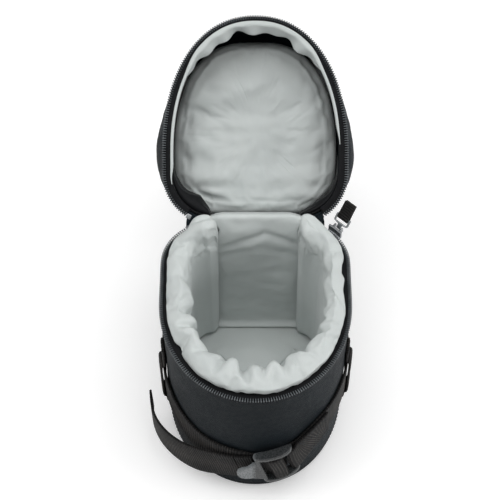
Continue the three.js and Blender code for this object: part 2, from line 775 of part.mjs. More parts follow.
// From the buckle's own plan: u along the strap to the right, w across it, h out from the wall
const onBuckle = (u, w, h) => onWall(
  buckleS - u * Math.cos(BUCKLE_TILT) + w * Math.sin(BUCKLE_TILT),
  buckleZ + u * Math.sin(BUCKLE_TILT) + w * Math.cos(BUCKLE_TILT),
  h,
);

// The same along the strap's own line, which bends away past the buckle
function onStrap(u, w, h) {
  const s = buckleS - u * Math.cos(BUCKLE_TILT);
  const rise = strapHeight(s - DIRECTION_REACH) - strapHeight(s + DIRECTION_REACH);
  const slope = Math.atan2(rise, 2 * DIRECTION_REACH);
  return onWall(s + w * Math.sin(slope), strapHeight(s) + w * Math.cos(slope), h);
}

function wrapOnWall(geometry, place) {
  const points = geometry.attributes.position;
  for (let i = 0; i < points.count; i += 1) {
    const p = place(points.getX(i), points.getY(i), points.getZ(i));
    points.setXYZ(i, p.x, p.y, p.z);
  }
  return geometry;
}

function buckle() {
  const rails = [-1, 1].map((side) => {
    const shape = new THREE.Shape();
    shape.moveTo(-RAIL_END_LEFT, RAIL_LOW + RAIL);
    shape.quadraticCurveTo(-RAIL_END_LEFT, RAIL_LOW, -RAIL_END_LEFT / 2, RAIL_LOW);
    for (let k = 1; k <= 4; k += 1) {
      shape.lineTo(THREE.MathUtils.lerp(-RAIL_END_LEFT / 2, FIXED_BAR, k / 4), RAIL_LOW);
    }
    shape.quadraticCurveTo(RAIL_END_RIGHT, RAIL_LOW, RAIL_END_RIGHT, fixedBarHeight);
    shape.quadraticCurveTo(RAIL_END_RIGHT, RAIL_CREST, middleBar, RAIL_CREST);
    shape.quadraticCurveTo(-RAIL_END_LEFT, RAIL_CREST, -RAIL_END_LEFT, RAIL_LOW + RAIL);
    const rail = new THREE.ExtrudeGeometry(shape, { depth: RAIL, bevelEnabled: false, curveSegments: 5 });
    rail.rotateX(Math.PI / 2);
    rail.translate(0, RAIL / 2 + (side * (BUCKLE_INSIDE + RAIL)) / 2, 0);
    return rail;
  });
  const bar = (u, h) => {
    const rod = new THREE.CylinderGeometry(BAR_RADIUS, BAR_RADIUS, BUCKLE_INSIDE + RAIL, 10, 6);
    rod.translate(u, 0, h);
    return rod;
  };
  const bars = [
    bar(FIXED_BAR, fixedBarHeight),
    bar(middleBar, MIDDLE_BAR_HEIGHT),
    bar(tongueBar, TONGUE_BAR_HEIGHT),
  ];
  const plan2d = new THREE.Shape();
  plan2d.moveTo(0, -TONGUE_ROOT_WIDTH / 2);
  plan2d.lineTo(-TONGUE_LENGTH / 2, -TONGUE_TIP_WIDTH / 2);
  plan2d.quadraticCurveTo(-TONGUE_LENGTH, -TONGUE_TIP_WIDTH / 2, -TONGUE_LENGTH, 0);
  plan2d.quadraticCurveTo(-TONGUE_LENGTH, TONGUE_TIP_WIDTH / 2, -TONGUE_LENGTH / 2, TONGUE_TIP_WIDTH / 2);
  plan2d.lineTo(0, TONGUE_ROOT_WIDTH / 2);
  const tongue = new THREE.ExtrudeGeometry(plan2d, {
    depth: TONGUE_THICKNESS,
    bevelEnabled: false,
    curveSegments: 5,
  });
  tongue.translate(0, 0, -TONGUE_THICKNESS / 2);
  tongue.rotateY(Math.atan2(TONGUE_RISE, TONGUE_LENGTH));
  tongue.translate(tongueBar, 0, TONGUE_BAR_HEIGHT);
  return wrapOnWall(unite([...rails, ...bars, tongue]), onBuckle);
}

// Webbing given by a line of [u, h] for its middle plane
function buckleWebbing(line, place = onBuckle) {
  const points = line.map(([u, h]) => new THREE.Vector2(u, h));
  return wrapOnWall(flatRibbon(points, STRAP_WIDTH, WEBBING, 2), place);
}

function strapThread() {
  const half = WEBBING / 2;
  const low = layerTwo + half;
  const left = 2 * middleBar - threadUp;
  return buckleWebbing([
    [threadUp, layerTwo + GAP],
    [threadUp, MIDDLE_BAR_HEIGHT],
    [threadUp - half, THREAD_CREST - half],
    [middleBar + half, THREAD_CREST],
    [middleBar - half, THREAD_CREST],
    [left + half, THREAD_CREST - half],
    [left, MIDDLE_BAR_HEIGHT],
    [left - WEBBING, low + half],
    [left - 2 * WEBBING, low],
    [tongueBar, low],
    [tongueBar - 2 * WEBBING, low],
  ]);
}

// The strap's sewn end: round the fixed bar and back over the right run
function strapSewnEnd() {
  const radius = bend + WEBBING / 2;
  const line = [];
  for (let k = 0; k <= BEND_STEPS; k += 1) {
    const angle = -Math.PI / 2 - (k / BEND_STEPS) * Math.PI;
    line.push([FIXED_BAR + radius * Math.cos(angle), fixedBarHeight + radius * Math.sin(angle)]);
  }
  const low = layerTwo + WEBBING / 2;
  line.push([FIXED_BAR + SEWN_END_RAMP / 2, (fixedBarHeight + radius + low) / 2]);
  line.push([FIXED_BAR + SEWN_END_RAMP, low]);
  for (const share of quarterShares.slice(1)) {
    line.push([FIXED_BAR + SEWN_END_RAMP + share * SEWN_END_LENGTH, low]);
  }
  return buckleWebbing(line, onStrap);
}

const tongueTip = tongueBar - TONGUE_LENGTH;
const tailRootFrom = tongueBar - 2 * WEBBING - GAP;
const tailS = buckleS - (tongueTip - SOFT_GAP) * Math.cos(BUCKLE_TILT);
const tailZ = buckleZ + (tongueTip - SOFT_GAP) * Math.sin(BUCKLE_TILT);

function tailRoot() {
  const low = layerTwo + WEBBING / 2;
  const along = thirdShares.map((share) => THREE.MathUtils.lerp(tailRootFrom, tongueTip, share));
  return buckleWebbing(along.map((u) => [u, low]));
}

function strapTail() {
  const steps = 26;
  const drop = tailZ - tailHeightShares[0][1] * MOUTH_HEIGHT;
  const path = Array.from({ length: steps + 1 }, (_, i) => {
    const share = i / steps;
    return {
      s: tailS + share * TAIL_LENGTH,
      z: readTable(tailHeightShares, share) * MOUTH_HEIGHT + drop * (1 - share),
      h: layerTwo + TAIL_LIFT * readTable(tailLiftShares, share),
    };
  });
  return ribbon(path, STRAP_WIDTH, WEBBING);
}

function keeper(share) {
  const s = share * bodyOutline.length;
  const middle = strapHeight(s);
  const low = middle - STRAP_WIDTH / 2 - KEEPER_RAMP;
  const high = middle + STRAP_WIDTH / 2 + KEEPER_RAMP;
  const path = [
    { s, z: low - KEEPER_RAMP - KEEPER_SEWN, h: layerOne },
    { s, z: low - KEEPER_RAMP, h: layerOne },
    { s, z: low, h: layerTwo + GAP },
    { s, z: middle, h: layerTwo + GAP },
    { s, z: high, h: layerTwo + GAP },
    { s, z: high + KEEPER_RAMP, h: layerOne },
    { s, z: wallTop - KEEPER_DROP, h: layerOne },
  ];
  return ribbon(path, KEEPER_WIDTH, WEBBING);
}

function beltLoop() {
  const top = wallTop - HINGE_PANEL_LAP - BELT_LOOP_DROP;
  const inLow = BELT_LOOP_LOW + BELT_LOOP_SEWN;
  const inHigh = top - BELT_LOOP_SEWN;
  const path = [
    { s: 0, z: BELT_LOOP_LOW, h: layerOne },
    { s: 0, z: inLow, h: layerOne },
    { s: 0, z: inLow + BELT_LOOP_RAMP, h: BELT_LOOP_STANDOFF },
    { s: 0, z: (inLow + inHigh) / 2, h: BELT_LOOP_STANDOFF },
    { s: 0, z: inHigh - BELT_LOOP_RAMP, h: BELT_LOOP_STANDOFF },
    { s: 0, z: inHigh, h: layerOne },
    { s: 0, z: top, h: layerOne },
  ];
  return ribbon(path, BELT_LOOP_WIDTH, WEBBING);
}

const group = new THREE.Group();
group.add(
  mesh('outer_wall', outerWall(), nylon()),
  mesh('base_panel', basePanel(), nylon()),
  mesh('floor_pad', floorPad(), liningCloth()),
  mesh('wall_pad', wallPad(), liningCloth()),
  mesh('back_lining', backLining(), liningCloth()),
  mesh('body_zip_tape', alongZip(bodyOutline, bodyTape), tapeCloth()),
  mesh('body_zip_teeth', alongZip(bodyOutline, coil), tapeCloth()),
  mesh('body_zip_stop', atZipEnd(bodyOutline, stop), metal()),
  mesh('hinge_panel', hingePanel(), nylon()),
  mesh('hinge_fold', hingeFold(), nylon()),
  mesh('belt_loop', beltLoop(), webbing()),
  mesh('strap', strap(), webbing()),
  mesh('strap_sewn_end', strapSewnEnd(), webbing()),
  mesh('strap_thread', strapThread(), webbing()),
  mesh('strap_tail_root', tailRoot(), webbing()),
  mesh('strap_tail', strapTail(), webbing()),
  mesh('keeper_right', keeper(KEEPER_PLACE_SHARE), webbing()),
  mesh('keeper_left', keeper(1 - KEEPER_PLACE_SHARE), webbing()),
  mesh('buckle', buckle(), plastic()),
  mesh('zip_slider', zipSlider(), metal()),
);

const pull = pullFrame();
pull.add(
  mesh('pull_bail', pullBail(), metal()),
  mesh('pull_tab', pullTab(), webbing()),
);
group.add(pull);

// The lid turns about its back edge, level with the meeting of the two zip halves
const hinge = new THREE.Group();
hinge.position.copy(hingeLine);
hinge.rotation.x = -LID_OPEN_ANGLE;
const closedLid = new THREE.Group();
closedLid.position.copy(hinge.position).negate();
const gussetRun = [GUSSET_START, GUSSET_END];
closedLid.add(
  mesh('lid_wall', lidWall(), nylon()),
  mesh('lid_top', lidTopPanel(), nylon()),
  mesh('lid_side_lining', lidSideLining(), tapeCloth()),
  mesh('lid_pad', lidPad(), liningCloth()),
  mesh('lid_facing', lidFacing(), liningCloth()),
  mesh('gusset_right', gusset(...gussetRun), tapeCloth()),
  mesh('gusset_left', gusset(...gussetRun.map((s) => lidOutline.length - s).reverse()), tapeCloth()),
  mesh('lid_zip_tape', alongZip(lidOutline, lidTape), tapeCloth()),
  mesh('lid_zip_teeth', alongZip(lidOutline, upsideDown(coil)), tapeCloth()),
  mesh('lid_zip_stop', atZipEnd(lidOutline, upsideDown(stop)), metal()),
);
hinge.add(closedLid);
group.add(hinge);

export default group;
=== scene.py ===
import math

import bmesh
import bpy
import numpy as np
from mathutils import Matrix, Vector, noise


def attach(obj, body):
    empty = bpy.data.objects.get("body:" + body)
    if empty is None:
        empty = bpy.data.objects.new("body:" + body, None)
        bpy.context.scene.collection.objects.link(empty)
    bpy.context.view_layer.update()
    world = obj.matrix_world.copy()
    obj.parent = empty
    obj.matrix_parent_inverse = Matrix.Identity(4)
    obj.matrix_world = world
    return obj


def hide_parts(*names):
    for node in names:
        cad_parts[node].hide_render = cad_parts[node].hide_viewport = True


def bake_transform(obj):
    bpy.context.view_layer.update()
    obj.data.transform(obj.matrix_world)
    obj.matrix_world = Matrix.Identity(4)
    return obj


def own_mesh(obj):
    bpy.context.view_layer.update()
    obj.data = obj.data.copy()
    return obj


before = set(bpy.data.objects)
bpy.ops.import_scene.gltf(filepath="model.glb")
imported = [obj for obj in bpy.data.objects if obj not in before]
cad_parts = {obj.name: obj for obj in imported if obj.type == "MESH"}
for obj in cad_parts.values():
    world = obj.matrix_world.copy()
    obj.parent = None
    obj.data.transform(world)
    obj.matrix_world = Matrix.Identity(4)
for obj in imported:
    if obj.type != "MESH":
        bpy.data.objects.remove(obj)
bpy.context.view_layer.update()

MM = 0.001
SCENE = bpy.context.scene

# Camera, at the photograph's angle

CAMERA_PLACE = (-3.33, -507.3, 865.1)
CAMERA_TIP = math.radians(36)
FOCAL_LENGTH = 108
SENSOR_WIDTH = 36
FAR_CLIP = 20

camera_data = bpy.data.cameras.new("camera")
camera_data.lens = FOCAL_LENGTH
camera_data.sensor_width = SENSOR_WIDTH
camera_data.clip_end = FAR_CLIP
camera = bpy.data.objects.new("camera", camera_data)
camera.location = [v * MM for v in CAMERA_PLACE]
camera.rotation_euler = (CAMERA_TIP, 0, 0)
SCENE.collection.objects.link(camera)
SCENE.camera = camera

# Sizes that the pieces follow, in millimetres, as in the solids

HALF_WIDTH = 56.5
FRONT_DEPTH = 68.8
BACK_DEPTH = 58
CORNER_RADIUS = 30
FRONT_FULLNESS = 2.05
LID_FULLNESS = 2.2
LID_WIDEST_SETBACK = 16
MOUTH_HEIGHT = 114
LID_DEPTH = 46
LID_OPEN_ANGLE = math.radians(141.5)
GAP = 0.3
WRAP_GAP = 0.35
SOFT_GAP = 0.5
CLOSED_GAP = 0.4
WALL = 2.4
BODY_TAPER = 1.2
BODY_SWELL = 1
RIM_RADIUS = 9
LID_RIM_RADIUS = 7
LID_CROWN = 3
LID_SWELL = 6.5
LID_SWELL_START = 50
LID_SWELL_RUN = 36
LID_SWELL_FADE = 88
LID_SWELL_FADE_RUN = 52
FLOOR_PAD = 10
FLOOR_CROWN = 1.5
PAD_THICKNESS = 15
PAD_LEAN = 30
PAD_END = 29
LINING = 1
BACK_LINING = 3
LID_PAD = 9
FACING_START = 96
FACING_WIDTH = 10.6
FACING_COLUMNS = 14
TAPE = 0.8
TAPE_EDGE = 1.2
BODY_TAPE_REACH = 6
LID_TAPE_REACH = 4.3
COIL_HEIGHT = 1.5
TOOTH_PITCH = 1.5
ZIP_END_ANGLE = math.radians(57)
HINGE_OUT = 0.5
WEBBING = 1.5
STRAP_WIDTH = 25
KEEPER_WIDTH = 12
KEEPER_TOP = 84
KEEPER_SEWN = 5
KEEPER_RAMP = 3
BELT_LOOP_WIDTH = 38
BELT_LOOP_LOW = 16
BELT_LOOP_HIGH = 95
BELT_LOOP_SEWN = 6
BELT_LOOP_RAMP = 5
BELT_LOOP_STANDOFF = 7.5
TAIL_LENGTH = 74
TAIL_LIFT = 10.3
BUCKLE_TILT = math.radians(12)
BAR_RADIUS = 1.4
BAR_SPACING = 9.5
FIXED_BAR = 14
MIDDLE_BAR_HEIGHT = 5.6
TONGUE_LENGTH = 13.5
TONGUE_ROOT_X = 0.6
TONGUE_FADE = 3
THREAD_CREST = 8.4
SEWN_END_LENGTH = 20
SEWN_END_RAMP = 8
STRAIGHT_RIGHT = 17
STRAIGHT_LEFT = 4
STRAIGHT_BLEND = 16
LOOP_STEPS = 90
SEAM_STEPS = 500
STITCH_PITCH = 2.7
STITCH_LIFT = 0.06

STRAP_HEIGHT_SHARES = [
    (0, 0.56), (0.12, 0.53), (0.25, 0.491), (0.385, 0.484), (0.4425, 0.4), (0.48, 0.362),
    (0.54, 0.372), (0.6, 0.388), (0.667, 0.432), (0.74, 0.455), (0.88, 0.53), (1, 0.56),
]
BUCKLE_PLACE_SHARE = 0.48
BUCKLE_HEIGHT_SHARE = 0.364
KEEPER_PLACE_SHARE = 0.284
TAIL_LIFT_SHARES = [(0, 0), (0.18, 0.1), (0.4, 0.47), (0.68, 0.92), (0.83, 1), (1, 0.85)]
TAIL_HEIGHT_SHARES = [
    (0, 0.33), (0.1, 0.3162), (0.2, 0.297), (0.45, 0.248), (0.72, 0.23), (1, 0.244),
]


# Curves and outlines


def smooth(value):
    """An even ramp from 0 to 1."""
    t = np.clip(value, 0, 1)
    return t * t * (3 - 2 * t)


def through(rows, place):
    """The smooth curve through a table of (place, value) rows, read at each place."""
    at, values = np.array(rows, float).T
    slopes = np.empty_like(values)
    slopes[1:-1] = (values[2:] - values[:-2]) / (at[2:] - at[:-2])
    slopes[0] = (values[1] - values[0]) / (at[1] - at[0])
    slopes[-1] = (values[-1] - values[-2]) / (at[-1] - at[-2])
    place = np.asarray(place, float)
    i = np.clip(np.searchsorted(at, place, side="left") - 1, 0, len(at) - 2)
    span = at[i + 1] - at[i]
    t = (place - at[i]) / span
    return (
        (2 * t**3 - 3 * t**2 + 1) * values[i]
        + (t**3 - 2 * t**2 + t) * span * slopes[i]
        + (3 * t**2 - 2 * t**3) * values[i + 1]
        + (t**3 - t**2) * span * slopes[i + 1]
    )


class Outline:
    """A plan outline, measured by the length along it, clockwise from the middle of the back."""

    STEPS = 600
    REACH = 1.0

    def __init__(self, widest, fullness):
        quarter = np.linspace(0, math.pi / 2, self.STEPS + 1)
        corner = math.pi / 2 - quarter
        straight = HALF_WIDTH - CORNER_RADIUS
        depth = BACK_DEPTH - CORNER_RADIUS
        x = [np.array([0]), straight + CORNER_RADIUS * np.cos(corner)]
        y = [np.array([BACK_DEPTH]), depth + CORNER_RADIUS * np.sin(corner)]
        x.append(HALF_WIDTH * np.maximum(np.cos(quarter), 0) ** (2 / fullness))
        y.append(widest - (FRONT_DEPTH + widest) * np.sin(quarter) ** (2 / fullness))
        x, y = np.concatenate(x), np.concatenate(y)
        self.x = np.concatenate([x, -x[-2:0:-1], x[:1]])
        self.y = np.concatenate([y, y[-2:0:-1], y[:1]])
        steps = np.hypot(np.diff(self.x), np.diff(self.y))
        self.marks = np.concatenate([[0], np.cumsum(steps)])
        self.length = self.marks[-1]

    def place(self, s):
        s = np.mod(s, self.length)
        return np.interp(s, self.marks, self.x), np.interp(s, self.marks, self.y)

    def outward(self, s):
        ax, ay = self.place(s - self.REACH)
        bx, by = self.place(s + self.REACH)
        run = np.hypot(bx - ax, by - ay)
        return -(by - ay) / run, (bx - ax) / run

    def point(self, s, h, z):
        """The point at a length s, moved out by h, at height z. Arrays give arrays of points."""
        s, h, z = np.broadcast_arrays(*[np.asarray(v, float) for v in (s, h, z)])
        x, y = self.place(s)
        nx, ny = self.outward(s)
        return np.stack([x + nx * h, y + ny * h, z], -1)


BODY = Outline(0, FRONT_FULLNESS)
LID = Outline(LID_WIDEST_SETBACK, LID_FULLNESS)

TAPE_TOP = MOUTH_HEIGHT - GAP
WALL_TOP = TAPE_TOP - TAPE - GAP
WALL_BOTTOM = RIM_RADIUS + GAP
MEET = MOUTH_HEIGHT + COIL_HEIGHT + CLOSED_GAP / 2
LID_WALL_LOW = 2 * MEET - WALL_TOP
LID_TOP = MEET + LID_DEPTH
LID_WALL_HIGH = LID_TOP - LID_RIM_RADIUS - GAP
LID_PAD_LOW = LID_TOP - WALL - GAP - LID_PAD
ZIP_END = HALF_WIDTH - CORNER_RADIUS + CORNER_RADIUS * (math.pi / 2 - ZIP_END_ANGLE)
FLOOR_TOP = WALL + GAP + FLOOR_PAD
PAD_LOW = FLOOR_TOP + FLOOR_CROWN + GAP
INSIDE = -(WALL + SOFT_GAP)
HINGE = np.array([0, BACK_DEPTH + HINGE_OUT, MEET])


def body_face(z):
    """How far the body's wall stands out from its outline at height z."""
    share = np.asarray(z, float) / MOUTH_HEIGHT
    return BODY_SWELL * np.sin(np.pi * share) - BODY_TAPER * (1 - share)


def lid_face(s, z):
    """How far the closed lid's wall stands out from its outline."""
    from_back = from_back_of(s, LID)
    level = np.clip((z - LID_WALL_LOW) / (LID_WALL_HIGH - LID_WALL_LOW), 0, 1)
    rise = smooth((from_back - LID_SWELL_START) / LID_SWELL_RUN)
    fade = 1 - smooth((from_back - LID_SWELL_FADE) / LID_SWELL_FADE_RUN)
    return LID_SWELL * rise * fade * np.sin(np.pi * level)


def on_wall(s, z, h):
    """Points at a height h off the body's wall."""
    return BODY.point(s, body_face(z) + h, z)


def about_hinge(points, angle):
    """Points turned about the hinge."""
    turn = np.array(Matrix.Rotation(angle, 3, "X"))
    return (points - HINGE) @ turn.T + HINGE


def opened(points):
    """Points of the closed lid, turned to where the lid stands open."""
    return about_hinge(points, -LID_OPEN_ANGLE)


def closed_place(points):
    """Where points of the open lid lie when it is laid out closed."""
    return about_hinge(points, LID_OPEN_ANGLE)


def lengths_along(points):
    """The length from the first point of a line to each of its points."""
    return np.concatenate([[0], np.cumsum(np.linalg.norm(np.diff(points, axis=0), axis=-1))])


def from_back_of(s, outline):
    """The length to the middle of the back, the shorter way round."""
    return np.minimum(s, outline.length - s)


def ripple(points, size, seed, octaves=3):
    """Smooth noise from -1 to 1 at each point; size is the width of one wrinkle."""
    flat = points.reshape(-1, 3) / size + seed
    values = [noise.fractal(Vector(p), 1.0, 2.0, octaves) for p in flat]
    return np.array(values).reshape(points.shape[:-1])


# Meshes

CLOTH_MAP = "cloth"


def add_object(name, mesh):
    piece = bpy.data.objects.new(name, mesh)
    SCENE.collection.objects.link(piece)
    return piece


def smoothly(piece):
    """The piece, shaded smoothly."""
    piece.data.polygons.foreach_set("use_smooth", [True] * len(piece.data.polygons))
    piece.data.update()
    return piece


def marks_of(points, wrap):
    """How far along each row or column lies, on average, in metres."""
    if wrap:
        points = np.concatenate([points, points[:1]])
    steps = np.linalg.norm(np.diff(points, axis=0), axis=-1).mean(-1)
    return np.concatenate([[0], np.cumsum(steps)]) * MM


def enclosed(flat, quads):
    """The volume that the quads close in: below 0 where they face in."""
    a, b, c, d = [flat[quads[:, k]] - flat.mean(0) for k in range(4)]
    return np.sum(a * (np.cross(b, c) + np.cross(c, d)))


def skin(name, points, wrap_u=False, wrap_v=True):
    """A piece over a grid of points: rows run along u, columns round v, its UV map in metres."""
    rows, columns = points.shape[:2]
    u = marks_of(points, wrap_u)
    v = marks_of(points.swapaxes(0, 1), wrap_v)
    i = np.arange(rows if wrap_u else rows - 1)
    j = np.arange(columns if wrap_v else columns - 1)
    ii, jj = [a.ravel() for a in np.meshgrid(i, j, indexing="ij")]
    i2, j2 = (ii + 1) % rows, (jj + 1) % columns
    quads = np.stack([
        ii * columns + jj, i2 * columns + jj, i2 * columns + j2, ii * columns + j2,
    ], -1)
    corners = [(ii, jj), (ii + 1, jj), (ii + 1, jj + 1), (ii, jj + 1)]
    uv = np.stack([np.stack([u[a], v[b]], -1) for a, b in corners], 1)
    faces = quads.tolist()
    flat_uv = uv.reshape(-1, 2).tolist()
    flat = points.reshape(-1, 3)
    ends = wrap_v and not wrap_u
    if ends:
        first, last = list(range(columns)), list(range((rows - 1) * columns, rows * columns))
        for ring, start in ((first, 0), (last[::-1], u[-1])):
            faces.append(ring)
            reach = np.linalg.norm(flat[ring] - flat[ring[0]], axis=-1) * MM
            flat_uv.extend([[start + r, v[k % columns]] for r, k in zip(reach, ring)])
    if wrap_v and (wrap_u or ends) and enclosed(flat, quads) < 0:
        cursor, turned = 0, []
        for n, face in enumerate(faces):
            turned.extend(flat_uv[cursor:cursor + len(face)][::-1])
            cursor += len(face)
            faces[n] = face[::-1]
        flat_uv = turned
    mesh = bpy.data.meshes.new(name)
    mesh.from_pydata((flat * MM).tolist(), [], faces)
    layer = mesh.uv_layers.new(name=CLOTH_MAP)
    layer.data.foreach_set("uv", np.array(flat_uv, np.float32).ravel())
    return smoothly(add_object(name, mesh))


def rounded(controls, count, closed=True):
    """Even points on a smooth curve through each row of control points."""
    controls = np.asarray(controls, float)
    n = controls.shape[-2]
    if closed:
        padded = np.concatenate([controls[..., -1:, :], controls, controls[..., :2, :]], -2)
        total = n
    else:
        first = 2 * controls[..., :1, :] - controls[..., 1:2, :]
        last = 2 * controls[..., -1:, :] - controls[..., -2:-1, :]
        padded = np.concatenate([first, controls, last], -2)
        total = n - 1
    dense = total * 12
    t = np.linspace(0, total, dense, endpoint=not closed)
    i = np.minimum(t.astype(int), total - 1)
    f = (t - i)[..., :, None]
    p0, p1, p2, p3 = [padded[..., i + k, :] for k in range(4)]
    curve = 0.5 * (
        2 * p1 + (p2 - p0) * f + (2 * p0 - 5 * p1 + 4 * p2 - p3) * f**2
        + (3 * p1 - p0 - 3 * p2 + p3) * f**3
    )
    sample = curve.reshape(-1, *curve.shape[-2:])[0]
    ring = np.concatenate([sample, sample[:1]]) if closed else sample
    steps = lengths_along(ring)
    wanted = np.linspace(0, steps[-1], count, endpoint=not closed)
    at = np.interp(wanted, steps, np.arange(len(steps)))
    low = at.astype(int) % curve.shape[-2]
    high = (low + 1) % curve.shape[-2] if closed else np.minimum(low + 1, curve.shape[-2] - 1)
    share = (at - at.astype(int))[:, None]
    return curve[..., low, :] * (1 - share) + curve[..., high, :] * share


def final(piece):
    """The piece with its modifiers worked into a plain mesh, shaded smoothly."""
    graph = bpy.context.evaluated_depsgraph_get()
    mesh = bpy.data.meshes.new_from_object(piece.evaluated_get(graph), depsgraph=graph)
    name = piece.name
    bpy.data.objects.remove(piece)
    mesh.name = name
    return smoothly(add_object(name, mesh))


def flat_map(piece):
    """Lays a UV map in metres along the piece's longest and next longest direction."""
    points = places(piece)[0] * MM
    points = points - points.mean(0)
    ways = np.linalg.svd(points, full_matrices=False)[2]
    corners = np.empty(len(piece.data.loops), np.int32)
    piece.data.loops.foreach_get("vertex_index", corners)
    layer = piece.data.uv_layers.new(name=CLOTH_MAP)
    layer.data.foreach_set("uv", (points @ ways[:2].T)[corners].astype(np.float32).ravel())
    return piece


def moulded(node, ending, voxel, passes):
    """A copy of a solid with its edges rounded off, as on a moulded or cast piece."""
    name = node + ending
    mesh = bpy.data.meshes.new(name)
    form = bmesh.new()
    form.from_mesh(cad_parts[node].data)
    bmesh.ops.remove_doubles(form, verts=form.verts, dist=1e-6)
    form.to_mesh(mesh)
    form.free()
    piece = add_object(name, mesh)
    remesh = piece.modifiers.new("even", "REMESH")
    remesh.mode = "VOXEL"
    remesh.voxel_size = voxel * MM
    relax = piece.modifiers.new("rounded", "SMOOTH")
    relax.factor = 0.5
    relax.iterations = passes
    return final(piece)


# Materials


def shade(name):
    """A new material, with its node tree and its surface shader."""
    made = bpy.data.materials.new(name)
    made.use_nodes = True
    tree = made.node_tree
    return made, tree, tree.nodes["Principled BSDF"]


def colour(code):
    """A written colour as the shader's own red, green, blue and alpha."""
    values = [int(code[i:i + 2], 16) / 255 for i in (1, 3, 5)]
    linear = [c / 12.92 if c <= 0.04045 else ((c + 0.055) / 1.055) ** 2.4 for c in values]
    return (*linear, 1)


def group_tree(name, inputs, outputs):
    """A new shader node group, with its input and output nodes."""
    tree = bpy.data.node_groups.new(name, "ShaderNodeTree")
    for label, kind, value in inputs:
        socket = tree.interface.new_socket(label, in_out="INPUT", socket_type=kind)
        if value is not None:
            socket.default_value = value
    for label, kind in outputs:
        tree.interface.new_socket(label, in_out="OUTPUT", socket_type=kind)
    return tree, tree.nodes.new("NodeGroupInput"), tree.nodes.new("NodeGroupOutput")


def math_node(tree, operation, first, second=None, clamp=False):
    """The result of a sum of numbers or of other nodes' outputs."""
    node = tree.nodes.new("ShaderNodeMath")
    node.operation = operation
    node.use_clamp = clamp
    for socket, value in zip(node.inputs, (first, second)):
        if isinstance(value, (int, float)):
            socket.default_value = value
        elif value is not None:
            tree.links.new(value, socket)
    return node.outputs[0]


def speckle(tree, place, scale, detail):
    """A noise over a place, as fine as a scale that comes from another node."""
    cloud = tree.nodes.new("ShaderNodeTexNoise")
    cloud.inputs["Detail"].default_value = detail
    tree.links.new(place, cloud.inputs["Vector"])
    tree.links.new(scale, cloud.inputs["Scale"])
    return cloud.outputs[0]


def weave_group():
    """Plain weave: crossing threads on a UV map in metres, put out as a height and a mask."""
    tree, given, out = group_tree(
        "plain_weave",
        [("Map", "NodeSocketVector", None), ("Threads per metre", "NodeSocketFloat", 1500.0),
         ("Slub", "NodeSocketFloat", 0.3)],
        [("Height", "NodeSocketFloat"), ("Fleck", "NodeSocketFloat")],
    )
    parts = tree.nodes.new("ShaderNodeSeparateXYZ")
    tree.links.new(given.outputs["Map"], parts.inputs[0])
    waves = []
    threads = given.outputs["Threads per metre"]
    for axis in ("X", "Y"):
        turns = math_node(tree, "MULTIPLY", parts.outputs[axis], threads)
        turns = math_node(tree, "MULTIPLY", turns, math.pi)
        waves.append(math_node(tree, "ABSOLUTE", math_node(tree, "SINE", turns)))
    pitch = math_node(tree, "MULTIPLY", threads, 0.8)
    fleck = speckle(tree, given.outputs["Map"], pitch, 3)
    height = math_node(tree, "MULTIPLY", *waves)
    slub = math_node(tree, "MULTIPLY", fleck, given.outputs["Slub"])
    tree.links.new(math_node(tree, "ADD", height, slub), out.inputs["Height"])
    tree.links.new(fleck, out.inputs["Fleck"])
    return tree


def rib_group():
    """Webbing: a zigzag of fine ribs on a UV map in metres, put out as a height."""
    tree, given, out = group_tree(
        "webbing_ribs",
        [("Map", "NodeSocketVector", None), ("Ribs per metre", "NodeSocketFloat", 900.0),
         ("Bands per metre", "NodeSocketFloat", 160.0), ("Lean", "NodeSocketFloat", 1.0)],
        [("Height", "NodeSocketFloat"), ("Fleck", "NodeSocketFloat")],
    )
    parts = tree.nodes.new("ShaderNodeSeparateXYZ")
    tree.links.new(given.outputs["Map"], parts.inputs[0])
    across = math_node(tree, "MULTIPLY", parts.outputs["Y"], given.outputs["Bands per metre"])
    zigzag = math_node(tree, "PINGPONG", across, 1.0)
    shift = math_node(tree, "MULTIPLY", zigzag, given.outputs["Lean"])
    along = math_node(tree, "MULTIPLY", parts.outputs["X"], given.outputs["Ribs per metre"])
    turns = math_node(tree, "MULTIPLY", math_node(tree, "ADD", along, shift), math.pi)
    rib = math_node(tree, "ABSOLUTE", math_node(tree, "SINE", turns))
    groove = math_node(tree, "MULTIPLY", math_node(tree, "SUBTRACT", 1.0, zigzag), 0.3)
    fleck = speckle(tree, given.outputs["Map"], given.outputs["Ribs per metre"], 3)
    tree.links.new(math_node(tree, "SUBTRACT", rib, groove), out.inputs["Height"])
    tree.links.new(fleck, out.inputs["Fleck"])
    return tree


def wear_group():
    """Broad unevenness in object space: a mask for colour and one for roughness."""
    tree, given, out = group_tree(
        "uneven",
        [("Place", "NodeSocketVector", None), ("Scale", "NodeSocketFloat", 30.0)],
        [("Broad", "NodeSocketFloat"), ("Fine", "NodeSocketFloat")],
    )
    for label, factor, detail in (("Broad", 1.0, 4), ("Fine", 12.0, 6)):
        scale = math_node(tree, "MULTIPLY", given.outputs["Scale"], factor)
        tree.links.new(speckle(tree, given.outputs["Place"], scale, detail), out.inputs[label])
    return tree


WEAVE = weave_group()
RIBS = rib_group()
UNEVEN = wear_group()


def place_group(tree, group, feed, **values):
    """A group placed in a material, its first input fed and the others set to their values."""
    node = tree.nodes.new("ShaderNodeGroup")
    node.node_tree = group
    tree.links.new(feed, node.inputs[0])
    for label, value in values.items():
        node.inputs[label.replace("_", " ")].default_value = value
    return node


def uneven_on(tree, scale):
    where = tree.nodes.new("ShaderNodeTexCoord")
    return place_group(tree, UNEVEN, where.outputs["Object"], Scale=scale)


